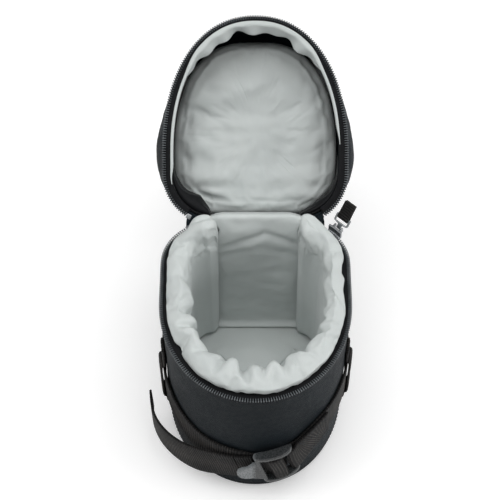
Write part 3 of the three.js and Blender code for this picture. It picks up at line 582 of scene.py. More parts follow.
def ramp(tree, source, stops):
    """A source turned into tints, or into plain values, at (place, tint) stops."""
    node = tree.nodes.new("ShaderNodeValToRGB")
    tree.links.new(source, node.inputs[0])
    elements = node.color_ramp.elements
    while len(elements) < len(stops):
        elements.new(0.5)
    for element, (place, tint) in zip(elements, stops):
        element.position = place
        element.color = colour(tint) if isinstance(tint, str) else (tint, tint, tint, 1)
    return node.outputs[0]


def bump(tree, surface, height, distance):
    node = tree.nodes.new("ShaderNodeBump")
    node.inputs["Distance"].default_value = distance * MM
    node.inputs["Strength"].default_value = 1.0
    tree.links.new(height, node.inputs["Height"])
    tree.links.new(node.outputs[0], surface.inputs["Normal"])


def roughened(tree, surface, fine, roughness, spread):
    """Roughness that wavers about its value by the spread."""
    stops = [(0.3, max(roughness - spread, 0)), (0.7, roughness + spread)]
    tree.links.new(ramp(tree, fine, stops), surface.inputs["Roughness"])


def threaded(name, group, scale, sheen, gloss, depth, **values):
    """A cloth material: its tree, its weave, its broad unevenness, and where they meet."""
    made, tree, surface = shade(name)
    uv = tree.nodes.new("ShaderNodeUVMap")
    uv.uv_map = CLOTH_MAP
    weave = place_group(tree, group, uv.outputs[0], **values)
    uneven = uneven_on(tree, scale)
    surface.inputs["Sheen Weight"].default_value = sheen
    surface.inputs["Specular IOR Level"].default_value = gloss
    bump(tree, surface, weave.outputs["Height"], depth)
    worn = math_node(tree, "MULTIPLY", weave.outputs["Fleck"], uneven.outputs["Broad"])
    return made, tree, surface, weave.outputs["Height"], uneven, worn


def cloth(name, dark, light, roughness, threads, depth, sheen=0.0, gloss=0.3, **extra):
    """Plain woven cloth."""
    made, tree, surface, height, uneven, worn = threaded(
        name, WEAVE, 25.0, sheen, gloss, depth, Threads_per_metre=threads, **extra,
    )
    mix = math_node(tree, "ADD", worn, math_node(tree, "MULTIPLY", height, 0.25))
    tint = ramp(tree, mix, [(0.15, dark), (0.65, light)])
    tree.links.new(tint, surface.inputs["Base Color"])
    roughened(tree, surface, uneven.outputs["Fine"], roughness, 0.06)
    return made


def webbing(name, valley, slope, ridge, ribs, depth):
    """Ribbed webbing: painted shade between the ribs and a painted highlight along their tops."""
    made, tree, surface, height, _, worn = threaded(
        name, RIBS, 60.0, 0.03, 0.15, depth, Ribs_per_metre=ribs, Bands_per_metre=80.0, Lean=0.3,
    )
    # Painted shade and highlight: the rib height darkens the valleys and lightens the rib tops,
    # and the fleck adds uneven tone.
    mix = math_node(tree, "ADD", math_node(tree, "MULTIPLY", height, 0.75), worn)
    tint = ramp(tree, mix, [(0.35, valley), (0.75, slope), (1.0, ridge)])
    tree.links.new(tint, surface.inputs["Base Color"])
    surface.inputs["Roughness"].default_value = 0.6
    return made


def hard(name, dark, light, roughness, metallic=0.0, grain=0.02, scale=60.0):
    """Plastic or metal with a fine grain."""
    made, tree, surface = shade(name)
    uneven = uneven_on(tree, scale)
    tint = ramp(tree, uneven.outputs["Broad"], [(0.3, dark), (0.7, light)])
    tree.links.new(tint, surface.inputs["Base Color"])
    roughened(tree, surface, uneven.outputs["Fine"], roughness, 0.08)
    surface.inputs["Metallic"].default_value = metallic
    bump(tree, surface, uneven.outputs["Fine"], grain)
    return made


def highlit_tongue_plastic(name, frame_tints, tongue_highlight_tints, roughness):
    """The buckle's plastic: its lift tongue, left of its root, is painted paler than the frame as
    a painted highlight.
    """
    made = hard(name, *frame_tints, roughness, grain=0.008, scale=80.0)
    tree = made.node_tree
    surface = tree.nodes["Principled BSDF"]
    uneven = uneven_on(tree, 120.0)
    # Painted highlight: the tongue's pale tints stand for the light that its face catches.
    pale = ramp(tree, uneven.outputs["Broad"], list(zip((0.3, 0.7), tongue_highlight_tints)))
    parts = tree.nodes.new("ShaderNodeSeparateXYZ")
    where = tree.nodes.new("ShaderNodeTexCoord")
    tree.links.new(where.outputs["Object"], parts.inputs[0])
    past = math_node(tree, "SUBTRACT", TONGUE_ROOT_X * MM, parts.outputs["X"])
    share = math_node(tree, "DIVIDE", past, TONGUE_FADE * MM, clamp=True)
    blend = tree.nodes.new("ShaderNodeMix")
    blend.data_type = "RGBA"
    tree.links.new(share, blend.inputs["Factor"])
    tree.links.new(surface.inputs["Base Color"].links[0].from_socket, blend.inputs["A"])
    tree.links.new(pale, blend.inputs["B"])
    tree.links.new(blend.outputs["Result"], surface.inputs["Base Color"])
    return made


NYLON = cloth("nylon_cloth", "#070f14", "#0f1b22", 0.56, 1600.0, 0.12, sheen=0.03, gloss=0.12)
LINING_CLOTH = cloth("lining_cloth", "#bcc2c1", "#cdd2d0", 0.5, 4200.0, 0.012, sheen=0.1, Slub=0.1)
DARK_LINING = cloth(
    "dark_lining", "#090a0c", "#131518", 0.55, 2400.0, 0.05, sheen=0.04, gloss=0.15,
)
TAPE_CLOTH = cloth("zip_tape", "#0a0b0d", "#17181b", 0.65, 1400.0, 0.1, sheen=0.03, gloss=0.15)
# The webbing's three tints carry painted shade in the valleys and a painted highlight on the rib
# tops.
WEBBING_CLOTH = webbing("webbing", "#080808", "#181717", "#45413e", 620.0, 0.3)
THREAD = hard("thread", "#1b1e22", "#30343a", 0.6)
# The buckle's tongue tints are a painted highlight.
BUCKLE_PLASTIC = highlit_tongue_plastic("buckle_plastic", ("#2b2d2e", "#3a3d3e"), ("#6a6e70", "#85898b"), 0.28)
# Painted highlight: the coil is black plastic, given a mid grey so that its turns show as bright
# beads.
TEETH_PLASTIC = hard("teeth_plastic", "#3c4043", "#666b6e", 0.2, grain=0.004)
METAL = hard("cast_metal", "#8f9295", "#b3b6b8", 0.3, metallic=1.0, grain=0.02, scale=120.0)


def dress(piece, material, body, slot, *nodes):
    """Gives a piece its material and body, in place of the solids of the nodes. Its slot is not
    used.
    """
    piece.data.materials.clear()
    piece.data.materials.append(material)
    if body:
        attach(piece, body)
    if nodes:
        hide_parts(*nodes)
    return piece


# Outer wall and base

RING = 300
WALL_EDGE = 1.1
EDGE_STEPS = 7
# Levels up the outer face, of which the inner face has every second or third
WALL_LEVELS, WALL_INNER_STEP = 34, 3
LID_LEVELS, LID_INNER_STEP = 20, 2
BROAD_DENT, FINE_DENT = 0.55, 0.18
DENT_SHIFT, DENT_LIMIT = 0.25, 0.2
BASE_RIM_STEPS = 14


def around(outline, count=RING):
    """Even places round an outline."""
    return np.arange(count) * outline.length / count


def wall_section(low, high, count, inner_step):
    """The section of a padded wall, its edges rounded: how far out, and how high."""
    half = WALL / 2
    levels = np.linspace(low + WALL_EDGE, high - WALL_EDGE, count)
    turn = np.linspace(0, math.pi, EDGE_STEPS)[1:-1]
    outer = [(0, z) for z in levels]
    top = [(-half + half * math.cos(a), high - WALL_EDGE + WALL_EDGE * math.sin(a)) for a in turn]
    inner = [(-WALL, z) for z in levels[::-inner_step]]
    foot = [(-half - half * math.cos(a), low + WALL_EDGE - WALL_EDGE * math.sin(a)) for a in turn]
    return np.array(outer + top + inner + foot).T[:, None]


def on_outer_face(h, z, low, high, foot_run, top_run):
    """1 on a wall's outer face, fading to 0 at its edges and on its inner face."""
    ends = smooth((z - low) / foot_run) * smooth((high - z) / top_run)
    return np.clip(1 + h / (WALL / 2), 0, 1) * ends


def outer_wall():
    s = around(BODY)[:, None]
    h, z = wall_section(WALL_BOTTOM, WALL_TOP, WALL_LEVELS, WALL_INNER_STEP)
    points = BODY.point(s, body_face(z) + h, z)
    dent = ripple(points, 38, 3.1) * BROAD_DENT
    dent = dent + ripple(points * [1, 1, 0.35], 16, 9.2) * FINE_DENT - DENT_SHIFT
    dent = np.minimum(dent, DENT_LIMIT) * on_outer_face(h, z, WALL_BOTTOM, WALL_TOP, 12, 10)
    points = BODY.point(s, body_face(z) + h + dent, z)
    piece = skin("outer_wall_cloth", points, wrap_u=True)
    dress(piece, NYLON, "pouch_body", "nylon", "outer_wall")


def base_panel():
    s = around(BODY)
    foot = float(body_face(0)) - RIM_RADIUS
    inside = RIM_RADIUS - WALL
    turns = np.linspace(0, math.pi / 2, BASE_RIM_STEPS)
    outer = [(foot + RIM_RADIUS * math.sin(a), RIM_RADIUS * (1 - math.cos(a))) for a in turns]
    inner = [(foot + inside * math.sin(a), WALL + inside * (1 - math.cos(a))) for a in turns[::-1]]
    rows = [BODY.point(s, h, z) for h, z in outer + inner]
    dress(skin("base_cloth", np.array(rows)), NYLON, "pouch_body", "nylon", "base_panel")


outer_wall()
base_panel()

# Padding

PUFF_FRAMES = 20
CLOTH_QUALITY = 5
CLOTH_MASS = 0.15
CLOTH_STIFFNESS = 12
CLOTH_BENDING = 0.3


def read(rows, kind):
    """A property of a mesh's points as one array of x, y and z."""
    values = np.empty(len(rows) * 3, np.float32)
    rows.foreach_get(kind, values)
    return values.reshape(-1, 3)


def puffed(piece, held, pressure, growth, cap):
    """Blows the closed piece up as its filling does it. Points held at 1 stay where they are."""
    rest = read(piece.data.vertices, "co")
    group = piece.vertex_groups.new(name="held")
    steps = np.round(held, 1)
    for weight in np.unique(steps[steps > 0]):
        group.add(np.flatnonzero(steps == weight).tolist(), float(weight), "REPLACE")
    filling = piece.modifiers.new("filling", "CLOTH")
    settings = filling.settings
    settings.quality = CLOTH_QUALITY
    settings.mass = CLOTH_MASS
    settings.tension_stiffness = settings.compression_stiffness = CLOTH_STIFFNESS
    settings.bending_stiffness = CLOTH_BENDING
    settings.use_pressure = True
    settings.uniform_pressure_force = pressure
    settings.shrink_min = -growth
    settings.vertex_group_mass = group.name
    settings.effector_weights.gravity = 0
    filling.point_cache.frame_start = 1
    filling.point_cache.frame_end = PUFF_FRAMES
    for step in range(1, PUFF_FRAMES + 1):
        SCENE.frame_set(step)
    blown = piece.evaluated_get(bpy.context.evaluated_depsgraph_get()).data
    moved = read(blown.vertices, "co") - rest
    piece.modifiers.clear()
    piece.vertex_groups.clear()
    SCENE.frame_set(1)
    reach = np.linalg.norm(moved, axis=-1, keepdims=True)
    moved *= np.minimum(1, cap * MM / np.maximum(reach, 1e-9))
    piece.data.vertices.foreach_set("co", (rest + moved).ravel())
    piece.data.update()


def finer(piece):
    """The piece with each of its faces divided smoothly in four."""
    divide = piece.modifiers.new("finer", "SUBSURF")
    divide.levels = divide.render_levels = 1
    return final(piece)


def places(piece):
    """The piece's points in millimetres, and its outward directions."""
    points = read(piece.data.vertices, "co").astype(float) / MM
    return points, read(piece.data.vertex_normals, "vector").astype(float)


def reshape(piece, points):
    piece.data.vertices.foreach_set("co", (points * MM).astype(np.float32).ravel())
    piece.data.update()


FLOOR_MIDDLE = np.array([0, -3.0, 0])
LID_MIDDLE = np.array([0, 2.0, 0])
TO_MIDDLE = (0.84, 0.68, 0.52, 0.37, 0.23, 0.1, 0.02)
FINE_TO_MIDDLE = tuple(np.linspace(0.95, 0.05, 19)) + (0.02,)


def disc(ring, centre, shares, rise=0.0):
    """Rings that carry a closed loop on to its middle."""
    out = []
    for share in shares:
        lift = np.array([0, 0, rise * (1 - share)])
        out.append((ring - centre) * [share, share, 1] + centre + lift)
    return out


def filled(rows, middle, shares, rise=0.0):
    """Rows of loops, carried on to their middle at both ends."""
    return disc(rows[0], middle, TO_MIDDLE)[::-1] + rows + disc(rows[-1], middle, shares, rise)


# Tucks in the roll: from the inner edge (x, y) to (x, y), how deep and how wide
TUCKS = [
    (-20.2, -48.7, -24.8, -55.5, 2.4, 1.7), (-6.8, -51.0, -4.5, -61.5, 3.8, 1.9),
    (5.4, -50.1, 3.0, -58.8, 2.2, 1.8), (15.9, -48.7, 18.1, -56.5, 2.6, 2.1),
    (28.3, -37.7, 37.5, -45.3, 1.8, 1.2), (33.3, -24.5, 47.5, -23.8, 2.3, 1.4),
    (-39.2, -9.5, -46.0, -11.0, 2.8, 2.8), (-35.4, -20.9, -46.5, -23.6, 2.7, 1.6),
    (38.3, -15.3, 45.0, -13.8, 1.5, 2.2), (-29.7, -39.1, -36.0, -41.0, 1.6, 2.0),
    (41.8, 0.6, 48.5, 2.0, 1.1, 2.2), (-41.0, 12.0, -49.0, 15.0, 1.0, 3.0),
    (41.0, 18.0, 49.0, 21.0, 1.0, 2.6), (-26.5, 53.5, -39.0, 48.5, 2.0, 1.5),
    (-10.5, -58.0, -13.5, -63.5, 1.0, 1.3), (10.0, -57.5, 9.0, -62.5, 0.9, 1.3),
    (24.0, -50.0, 27.5, -57.0, 1.2, 1.6), (-42.0, -33.0, -47.5, -37.0, 1.0, 2.0),
]
# Swells between them: x, y, how high and how wide
SWELLS = [
    (-14.0, -47.5, 2.4, 5.5), (-1.0, -51.0, 0.8, 5.0), (10.2, -48.8, 1.8, 4.5),
    (23.0, -42.0, 1.5, 5.0), (32.5, -31.0, 1.3, 5.0), (-37.5, -15.5, 1.7, 4.5),
    (-35.5, -30.0, 1.4, 6.0), (39.0, -19.5, 0.9, 4.0), (-40.0, 2.0, 1.0, 6.0),
    (42.5, 9.0, 0.8, 6.0),
]


def beside(plan, x0, y0, x1, y1):
    """A line's length, and how far along it and across it each point of a plan lies."""
    start, way = np.array([x0, y0]), np.array([x1 - x0, y1 - y0], float)
    reach = np.linalg.norm(way)
    way /= reach
    return reach, (plan - start) @ way, (plan - start) @ np.array([-way[1], way[0]])


def tucked(points):
    """How far each point near the rim is drawn in by the tucks, and let out by the swells."""
    drawn = np.zeros(len(points))
    plan = points[:, :2]
    for *ends, depth, width in TUCKS:
        reach, along, across = beside(plan, *ends)
        fade = smooth((along + 9) / 5) * smooth((reach + 3 - along) / (0.6 * reach + 3))
        away = np.sqrt(across**2 + 0.2) / width
        lip = np.exp(-(((np.abs(across) - 2.4 * width) / (1.3 * width)) ** 2))
        drawn -= depth * fade * (np.exp(-away) * 1.25 - 0.25 * lip)
    for x, y, height, width in SWELLS:
        away = np.hypot(plan[:, 0] - x, plan[:, 1] - y) / width
        drawn += height * np.exp(-(away**2))
    return drawn


RIM_STARTS = MOUTH_HEIGHT - PAD_LEAN
PAD_STEPS, PAD_RING = 150, 76
PAD_RUN = np.linspace(PAD_END - 1, BODY.length - PAD_END + 5.5, PAD_STEPS)
PAD_END_ROUNDING = 7.5
# How densely points are set on the pad's section below 100 mm high, against its rolled rim
LOW_DENSITY = 0.34


def off_the_teeth(points):
    """The pad's grid of points, with what bulges out over the teeth pressed back."""
    grid = points.reshape(PAD_STEPS, PAD_RING, 3)
    plan = np.stack(BODY.place(PAD_RUN), -1)[:, None]
    way = np.stack(BODY.outward(PAD_RUN), -1)[:, None]
    out = ((grid[..., :2] - plan) * way).sum(-1)
    limit = -2.7 + 0.6 * (1 - smooth((from_back_of(PAD_RUN, BODY) - 36) / 12))
    back = np.maximum(out - limit[:, None], 0) * smooth((grid[..., 2] - 110) / 4)
    grid[..., :2] -= back[..., None] * way
    return grid.reshape(-1, 3)


def wall_pad_points():
    """The pad's sections along its run: up the wall, over the rolled rim and down its inside."""
    s, flat = PAD_RUN, np.zeros(PAD_STEPS)
    share = s / BODY.length
    from_back = from_back_of(s, BODY)
    at_ends = 1 - smooth((from_back - 36) / 26)
    front = smooth((share - 0.34) / 0.1) * smooth((0.66 - share) / 0.1)
    right = smooth((0.42 - share) / 0.12)
    inner = -16.8 - 3.0 * front + 2.6 * right * (1 - at_ends) - 1.2 * at_ends
    corner = 1 - smooth((from_back - 34) / 16)
    outer = -2.2 + 1.4 * corner
    rise = 122 + 3.2 * at_ends + 4.0 * corner + 0.5 * front
    wall = INSIDE - 0.3 - 3.6 * (1 - smooth((from_back - 32) / 9))
    deep = flat + INSIDE - PAD_THICKNESS + 0.6
    middle = (outer + inner) / 2
    controls = [
        (wall - 1.5, PAD_LOW), (wall, PAD_LOW + 2.5), (wall, 42), (wall, 76), (wall - 0.4, 96),
        (wall - 2.6, 110.5), (-6.2, 113.4), (outer - 1.2, 114.7), (outer, 117),
        (outer - 1.1, rise - 2.4), (outer - 4.2, rise - 0.4), (middle - 1, rise + 0.2),
        (inner + 3.6, rise - 1.2), (inner + 0.7, rise - 4.2), (inner, rise - 8),
        ((inner + deep) / 2, 104), (deep, 88), (deep, 58), (deep, 30), (deep, PAD_LOW + 2.5),
        (deep + 1.5, PAD_LOW), ((wall + deep) / 2, PAD_LOW),
    ]
    controls = np.array([(flat + out, flat + up) for out, up in controls]).transpose(2, 0, 1)
    profile = rounded(controls, PAD_RING * 4)
    weight = np.where(profile[0, :, 1] > 100, 1.0, LOW_DENSITY)
    marks = np.concatenate([[0], np.cumsum(weight)])
    picked = np.searchsorted(marks, np.arange(PAD_RING) * marks[-1] / PAD_RING)
    profile = profile[:, np.minimum(picked, PAD_RING * 4 - 1)]
    h, level = profile[..., 0], profile[..., 1]
    left = np.clip(1 - np.minimum(s - s[0], s[-1] - s) / PAD_END_ROUNDING, 0, 1)
    full = np.sqrt(np.clip(1 - left**2, 0.006, 1))[:, None]
    spine = np.where(level > RIM_STARTS, middle[:, None], (wall + deep)[:, None] / 2)
    h = spine + (h - spine) * full
    level = level - (1 - full) * 3.5 * smooth((level - RIM_STARTS) / 25)
    return BODY.point(s[:, None], body_face(np.minimum(level, MOUTH_HEIGHT)) + h, level)


def near_rim(points):
    return smooth((points[:, 2] - 103) / 9)


def wall_pad():
    """The thick pad round the inside, rolled over at the mouth and drawn in by its tucks."""
    piece = skin("wall_pad_cloth", wall_pad_points())
    flat, normals = places(piece)
    rim = near_rim(flat)
    reshape(piece, flat + normals * (rim * tucked(flat) * 0.55)[:, None])
    flat, normals = places(piece)
    free = rim * smooth((tucked(flat) + 2.2) / 1.6)
    puffed(piece, 1 - 0.96 * free, 4.0, 0.05, 3.0)
    reshape(piece, off_the_teeth(places(piece)[0]))
    piece = finer(piece)
    flat, normals = places(piece)
    rim = near_rim(flat)
    soft = ripple(flat, 15, 5.3) * 0.7 + ripple(flat, 6, 2.2) * 0.22
    reshape(piece, flat + normals * (rim * (tucked(flat) * 0.55 + soft))[:, None])
    dress(piece, LINING_CLOTH, "pouch_body", "lining", "wall_pad")
    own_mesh(piece)


def floor_pad():
    """The padded floor, crowned at its middle."""
    side = float(body_face(0)) - WALL - GAP - BACK_LINING
    s = around(BODY, 120)
    low, high = WALL + GAP, FLOOR_TOP
    levels = [
        (side - 24, low), (side - 7, low), (side - 2.5, low + 1.6), (side - 0.6, low + 4.5),
        (side - 0.8, high - 3), (side - 2.6, high - 0.8), (side - 9, high + 0.3),
        (side - 16, high + 0.9), (side - 24, high + FLOOR_CROWN),
    ]
    rows = [BODY.point(s, h, z) for h, z in rounded(levels, 24, closed=False)]
    rows = filled(rows, FLOOR_MIDDLE, TO_MIDDLE, 0.3)
    piece = skin("floor_pad_cloth", np.array(rows))
    flat = places(piece)[0]
    off_middle = np.hypot(*(flat - FLOOR_MIDDLE)[:, :2].T)
    free = smooth((48 - off_middle) / 8) * smooth((off_middle - 8) / 12)
    puffed(piece, 1 - 0.9 * smooth((flat[:, 2] - high + 3) / 3) * free, 2.0, 0.01, 1.2)
    flat = places(piece)[0]
    flat[:, 2] += smooth((flat[:, 2] - high + 3) / 3) * ripple(flat, 24, 4.1) * 0.7
    reshape(piece, flat)
    dress(piece, LINING_CLOTH, "pouch_body", "lining", "floor_pad")


# The back lining from the side, from the floor over the hinge to the lid: y, z, thickness
BACK_LINE = np.array([
    (46.8, 14.2, 1.0), (49.4, 15.2, 1.8), (50.8, 19.0, 3.0), (51.2, 40, 3.2), (51.3, 76, 3.2),
    (51.3, 94, 2.8), (52.0, 104, 2.2), (53.6, 111, 1.5), (56.2, 116.5, 1.1), (58.6, 120.4, 1.1),
    (60.6, 121.2, 1.1), (62.8, 119.2, 1.0), (65.7, 116.0, 1.0), (70.8, 109.8, 1.0),
    (77.0, 102.0, 1.0), (83.0, 94.4, 1.0),
])
BACK_LEFT, BACK_RIGHT, BACK_EDGE = -22.8, 26.9, 1.4


def crease(y, z, height, slope, middle, place, width):
    """A crease across the lining behind the opening, highest at its own middle."""
    line = height - slope * np.abs(place - middle)
    return np.exp(-(((z - line) / width) ** 2)) * (y < 59)


def back_lining():
    """One panel of lining: up the back, over the hinge and on to the padded panel of the lid."""
    turn = np.sin(np.linspace(-math.pi / 2, math.pi / 2, 60))
    x = (BACK_LEFT + BACK_RIGHT) / 2 + (BACK_RIGHT - BACK_LEFT) / 2 * turn
    line = rounded(BACK_LINE[:, :2], 96, closed=False)
    marks = np.concatenate([[0], np.cumsum(np.hypot(*np.diff(BACK_LINE[:, :2], axis=0).T))])
    t = lengths_along(line)
    t = t / t[-1]
    thick = np.interp(t, marks / marks[-1], BACK_LINE[:, 2])[:, None]
    run = np.gradient(line, axis=0)
    run /= np.linalg.norm(run, axis=-1, keepdims=True)
    outward = np.stack([-run[:, 1], run[:, 0]], -1)
    if outward[0, 0] > 0:
        outward = -outward
    past = np.clip(1 - np.minimum(x - BACK_LEFT, BACK_RIGHT - x) / BACK_EDGE, 0, 1)
    full = np.sqrt(np.clip(1 - past**2, 0.02, 1))
    y, z = line.T
    over = smooth((y - 54.5) / 4.5)
    flare = 1 + 0.34 * over + 0.14 * (1 - smooth((z - 105) / 7)) * (y < 55)
    centre = line - outward * thick / 2
    rows = []
    for place, share in zip(x, full):
        grid = np.stack([place * flare, y, z], -1)
        soft = ripple(grid, 19, 7.7) * 0.9 + ripple(grid * [0.5, 1, 1], 9, 1.7) * 0.35
        calm = (
            smooth((place - BACK_LEFT) / 7) * smooth((BACK_RIGHT - place) / 7)
            * smooth(t / 0.06) * smooth((1 - t) / 0.05) * np.where(y > 60, 0.2, 1)
        )
        vee = crease(y, z, 110, 0.5, 6, place, 3.0)
        deep = crease(y, z, 97, 0.35, 2, place, 4.0)
        dent = np.clip((1.6 * vee + 1.0 * deep - soft - 0.3) * calm, -1.4, 1.9)
        face = line - outward * dent[:, None]
        front = centre + (face - centre) * share
        back = centre - outward * (thick * share / 2)
        section = np.concatenate([front, back[::-1]])
        across = place * np.concatenate([flare, flare[::-1]])
        droop = 3.4 * over * smooth((np.abs(place * flare) - 20) / 13)
        section[:, 1] -= np.concatenate([droop, droop[::-1]])
        rows.append(np.stack([across, section[:, 0], section[:, 1]], -1))
    piece = skin("back_lining_cloth", np.array(rows))
    dress(piece, LINING_CLOTH, None, "lining", "back_lining")
    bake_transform(piece)


wall_pad()
floor_pad()
back_lining()

# Lid

LID_RIM_STEPS = 12
CROWN_RUN = 17
CROWN_SOFTNESS, CROWN_SINK = 0.8, 0.4
SIDE_LINING_LEVELS = 16


def lid_piece(name, points, material, slot, node, **grid):
    """A piece of the lid from the points that it has when the lid is closed."""
    dress(skin(name, opened(points), **grid), material, "lid", slot, node)


def lid_wall():
    s = around(LID)[:, None]
    h, z = wall_section(LID_WALL_LOW, LID_WALL_HIGH, LID_LEVELS, LID_INNER_STEP)
    points = LID.point(s, lid_face(s, z) + h, z)
    soft = ripple(points, 24, 4.4) * 0.8 + ripple(points, 10, 2.9) * 0.2
    soft = soft * on_outer_face(h, z, LID_WALL_LOW, LID_WALL_HIGH, 8, 8)
    points = LID.point(s, lid_face(s, z) + h + soft, z)
    lid_piece("lid_wall_cloth", points, NYLON, "nylon", "lid_wall", wrap_u=True)


def lid_top():
    s = around(LID)
    inside = LID_RIM_RADIUS - WALL
    low = LID_TOP - LID_RIM_RADIUS
    turns = [(math.cos(a), math.sin(a)) for a in np.linspace(0, math.pi / 2, LID_RIM_STEPS)]
    outer = [(LID_RIM_RADIUS * (c - 1), low + LID_RIM_RADIUS * n) for c, n in turns]
    inner = [(inside * c - LID_RIM_RADIUS, low + inside * n) for c, n in turns]
    over = [
        (-LID_RIM_RADIUS - t * CROWN_RUN, LID_TOP + LID_CROWN * float(smooth(t)))
        for t in (0.25, 0.5, 0.75, 1)
    ]
    under = [(h, z - WALL) for h, z in over]
    rows = [LID.point(s, h, z) for h, z in under[::-1] + inner[::-1] + outer + over]
    points = np.array(filled(rows, LID_MIDDLE, TO_MIDDLE))
    crown = smooth((points[..., 2] - LID_TOP + 1.5) / 2)
    points[..., 2] += crown * (ripple(points, 30, 3.7) * CROWN_SOFTNESS - CROWN_SINK)
    lid_piece("lid_top_cloth", points, NYLON, "nylon", "lid_top")


def lid_side_lining():
    s = around(LID)[:, None]
    levels = np.linspace(LID_WALL_LOW, LID_PAD_LOW - GAP, SIDE_LINING_LEVELS)
    outer = [(INSIDE, z) for z in levels]
    inner = [(INSIDE - LINING, z) for z in levels[::-1]]
    h, z = np.array(outer + inner).T[:, None]
    points = LID.point(s, lid_face(s, z) + h, z)
    loose = smooth((z - LID_WALL_LOW) / 6) * smooth((from_back_of(s, LID) - 34) / 10)
    slack = (ripple(points * [1, 1, 0.4], 14, 8.8) - 0.6) * loose
    points = LID.point(s, lid_face(s, z) + h + np.where(h < INSIDE - 0.5, slack, 0), z)
    name = "lid_side_lining"
    lid_piece(name + "_cloth", points, DARK_LINING, "tape", name, wrap_u=True)


# Folds in the lid's panel, laid out closed: from (x, y) to (x, y), how high and how wide
LID_FOLDS = [
    (-37, 41, -12, 44, 1.5, 2.4), (-40, 36, -5, 30, 1.0, 4.0), (-46, 20, -15, 8, 0.8, 5.0),
    (44, 41, 22, 36, 0.8, 3.5), (48, 14, 26, 2, 0.7, 5.0), (-30, -30, -4, -16, 0.6, 5.0),
]


def lid_pad():
    """The lid's padded panel, drawn in at the front, where its seam stands off the wall."""
    s = around(LID, 270)
    front = np.exp(-(((s - LID.length / 2) / 36) ** 2))
    corner = np.exp(-(((from_back_of(s, LID) - 50) / 20) ** 2))
    inset = 0.6 + 8.0 * front + 3.0 * corner
    low, top = LID_PAD_LOW, LID_PAD_LOW + LID_PAD - 0.3
    edge = [
        (12, top, 0.0), (5, top, 0.5), (1.2, top - 2.0, 1), (0, top - 5.0, 1), (0.8, low + 2.6, 1),
        (2.6, low + 0.4, 1), (6.0, low - 0.8, 0.9), (11, low - 1.3, 0.7), (17, low - 1.5, 0.4),
        (22.5, low - 1.6, 0.1),
    ]
    rows = [
        LID.point(s, INSIDE - h - inset * share, z)
        for h, z, share in rounded(edge, 26, closed=False)
    ]
    points = np.array(filled(rows, LID_MIDDLE, FINE_TO_MIDDLE, -0.5))
    piece = skin("lid_pad_cloth", opened(points))
    closed = points.reshape(-1, 3)
    off_middle = np.hypot(*(closed - LID_MIDDLE)[:, :2].T)
    face = smooth((low + 1.6 - closed[:, 2]) / 3) * smooth((off_middle - 9) / 16)
    puffed(piece, 1 - 0.97 * face, 4.0, 0.025, 2.2)
    flat, normals = places(piece)
    back = closed_place(flat)
    face = smooth((low + 2 - back[:, 2]) / 3)
    lift = ripple(back * [1, 1.5, 1], 34, 6.1) * 2.0 + ripple(back * [1.2, 0.8, 1], 13, 1.4) * 0.55
    for *ends, depth, width in LID_FOLDS:
        reach, along, across = beside(back[:, :2], *ends)
        fade = smooth((along + 3) / 6) * smooth((reach - along) / (0.7 * reach))
        away = across / width
        ridge = np.exp(-((away + 0.9) ** 2)) - 1.1 * np.exp(-((away - 0.9) ** 2))
        lift += depth * fade * ridge
    reshape(piece, flat + normals * (face * lift)[:, None])
    dress(piece, LINING_CLOTH, "lid", "lining", "lid_pad")


def thin(points, thickness):
    """A sheet's front, and its back one thickness behind, as one closed section a row."""
    way = np.cross(np.gradient(points, axis=0), np.gradient(points, axis=1))
    way /= np.maximum(np.linalg.norm(way, axis=-1, keepdims=True), 1e-9)
    return np.concatenate([points, (points - way * thickness)[:, ::-1]], 1)


FACING_STEPS = 360
FACING_END = 66
FACING_CLOTH = 0.45
FACING_ENDS_RUN = 14
# Degrees that the strip leans: where it stands, and how much more where it flops
FACING_STANDS, FACING_FLOPS, FACING_WAVES = -9, 40, 20


def lid_facing():
    """The loose strip beside the zip: it flops in over the far end, and stands up at the sides."""
    s = np.linspace(FACING_START - 4, LID.length - FACING_END, FACING_STEPS)
    middle = s - LID.length / 2
    flop = smooth((middle + 62) / 22) * smooth((66 - middle) / 24)
    wave = np.sin(middle * 0.33 + 0.7) * 0.5 + np.sin(middle * 0.19 + 2.1) * 0.5
    lean = np.radians(FACING_STANDS + FACING_FLOPS * flop + FACING_WAVES * flop * wave)
    low = 2 * MEET - TAPE_TOP - 0.55
    along = np.linspace(0, 1, FACING_COLUMNS) * FACING_WIDTH
    step = FACING_WIDTH / (FACING_COLUMNS - 1)
    ends = smooth((s - s[0]) / FACING_ENDS_RUN) * smooth((s[-1] - s) / FACING_ENDS_RUN)
    rows = []
    for place, tilt, loose, end in zip(s, lean, flop, ends):
        flat_part = 1.3 + 0.9 * loose + 0.3 * math.sin(place * 0.4) * loose
        bent = smooth((along - flat_part + 1.2) / 2.4) * (math.pi / 2 - tilt)
        share = step * (0.25 + 0.75 * end)
        run = np.concatenate([[0], np.cumsum(np.cos(bent[:-1]))]) * share
        rise = np.concatenate([[0], np.cumsum(np.sin(bent[:-1]))]) * share
        side = np.full(FACING_COLUMNS, place)
        rows.append(LID.point(side, -3.3 + 1.7 * loose - run, low + rise))
    sheet = opened(np.array(rows))
    piece = skin("lid_facing_cloth", thin(sheet, FACING_CLOTH))
    dress(piece, LINING_CLOTH, "lid", "lining", "lid_facing")


# How far the gusset's fold stands in from the outline: (length along from the back, inset)
RIGHT_FOLD = [
    (26, 5.0), (31, 6.4), (40, 8.2), (48, 8.4), (57, 7.2), (66, 6.0), (75, 5.4), (85, 5.0),
]
LEFT_FOLD = [
    (26, 5.2), (33, 10.0), (42, 13.6), (50, 12.4), (58, 10.0), (66, 8.2), (76, 6.4), (88, 5.2),
]


GUSSET_LOW, GUSSET_CREST, GUSSET_HIGH = MEET + 7.5, MEET + 14, MEET + 24
GUSSET_STEPS = 70
GUSSET_RING = 28


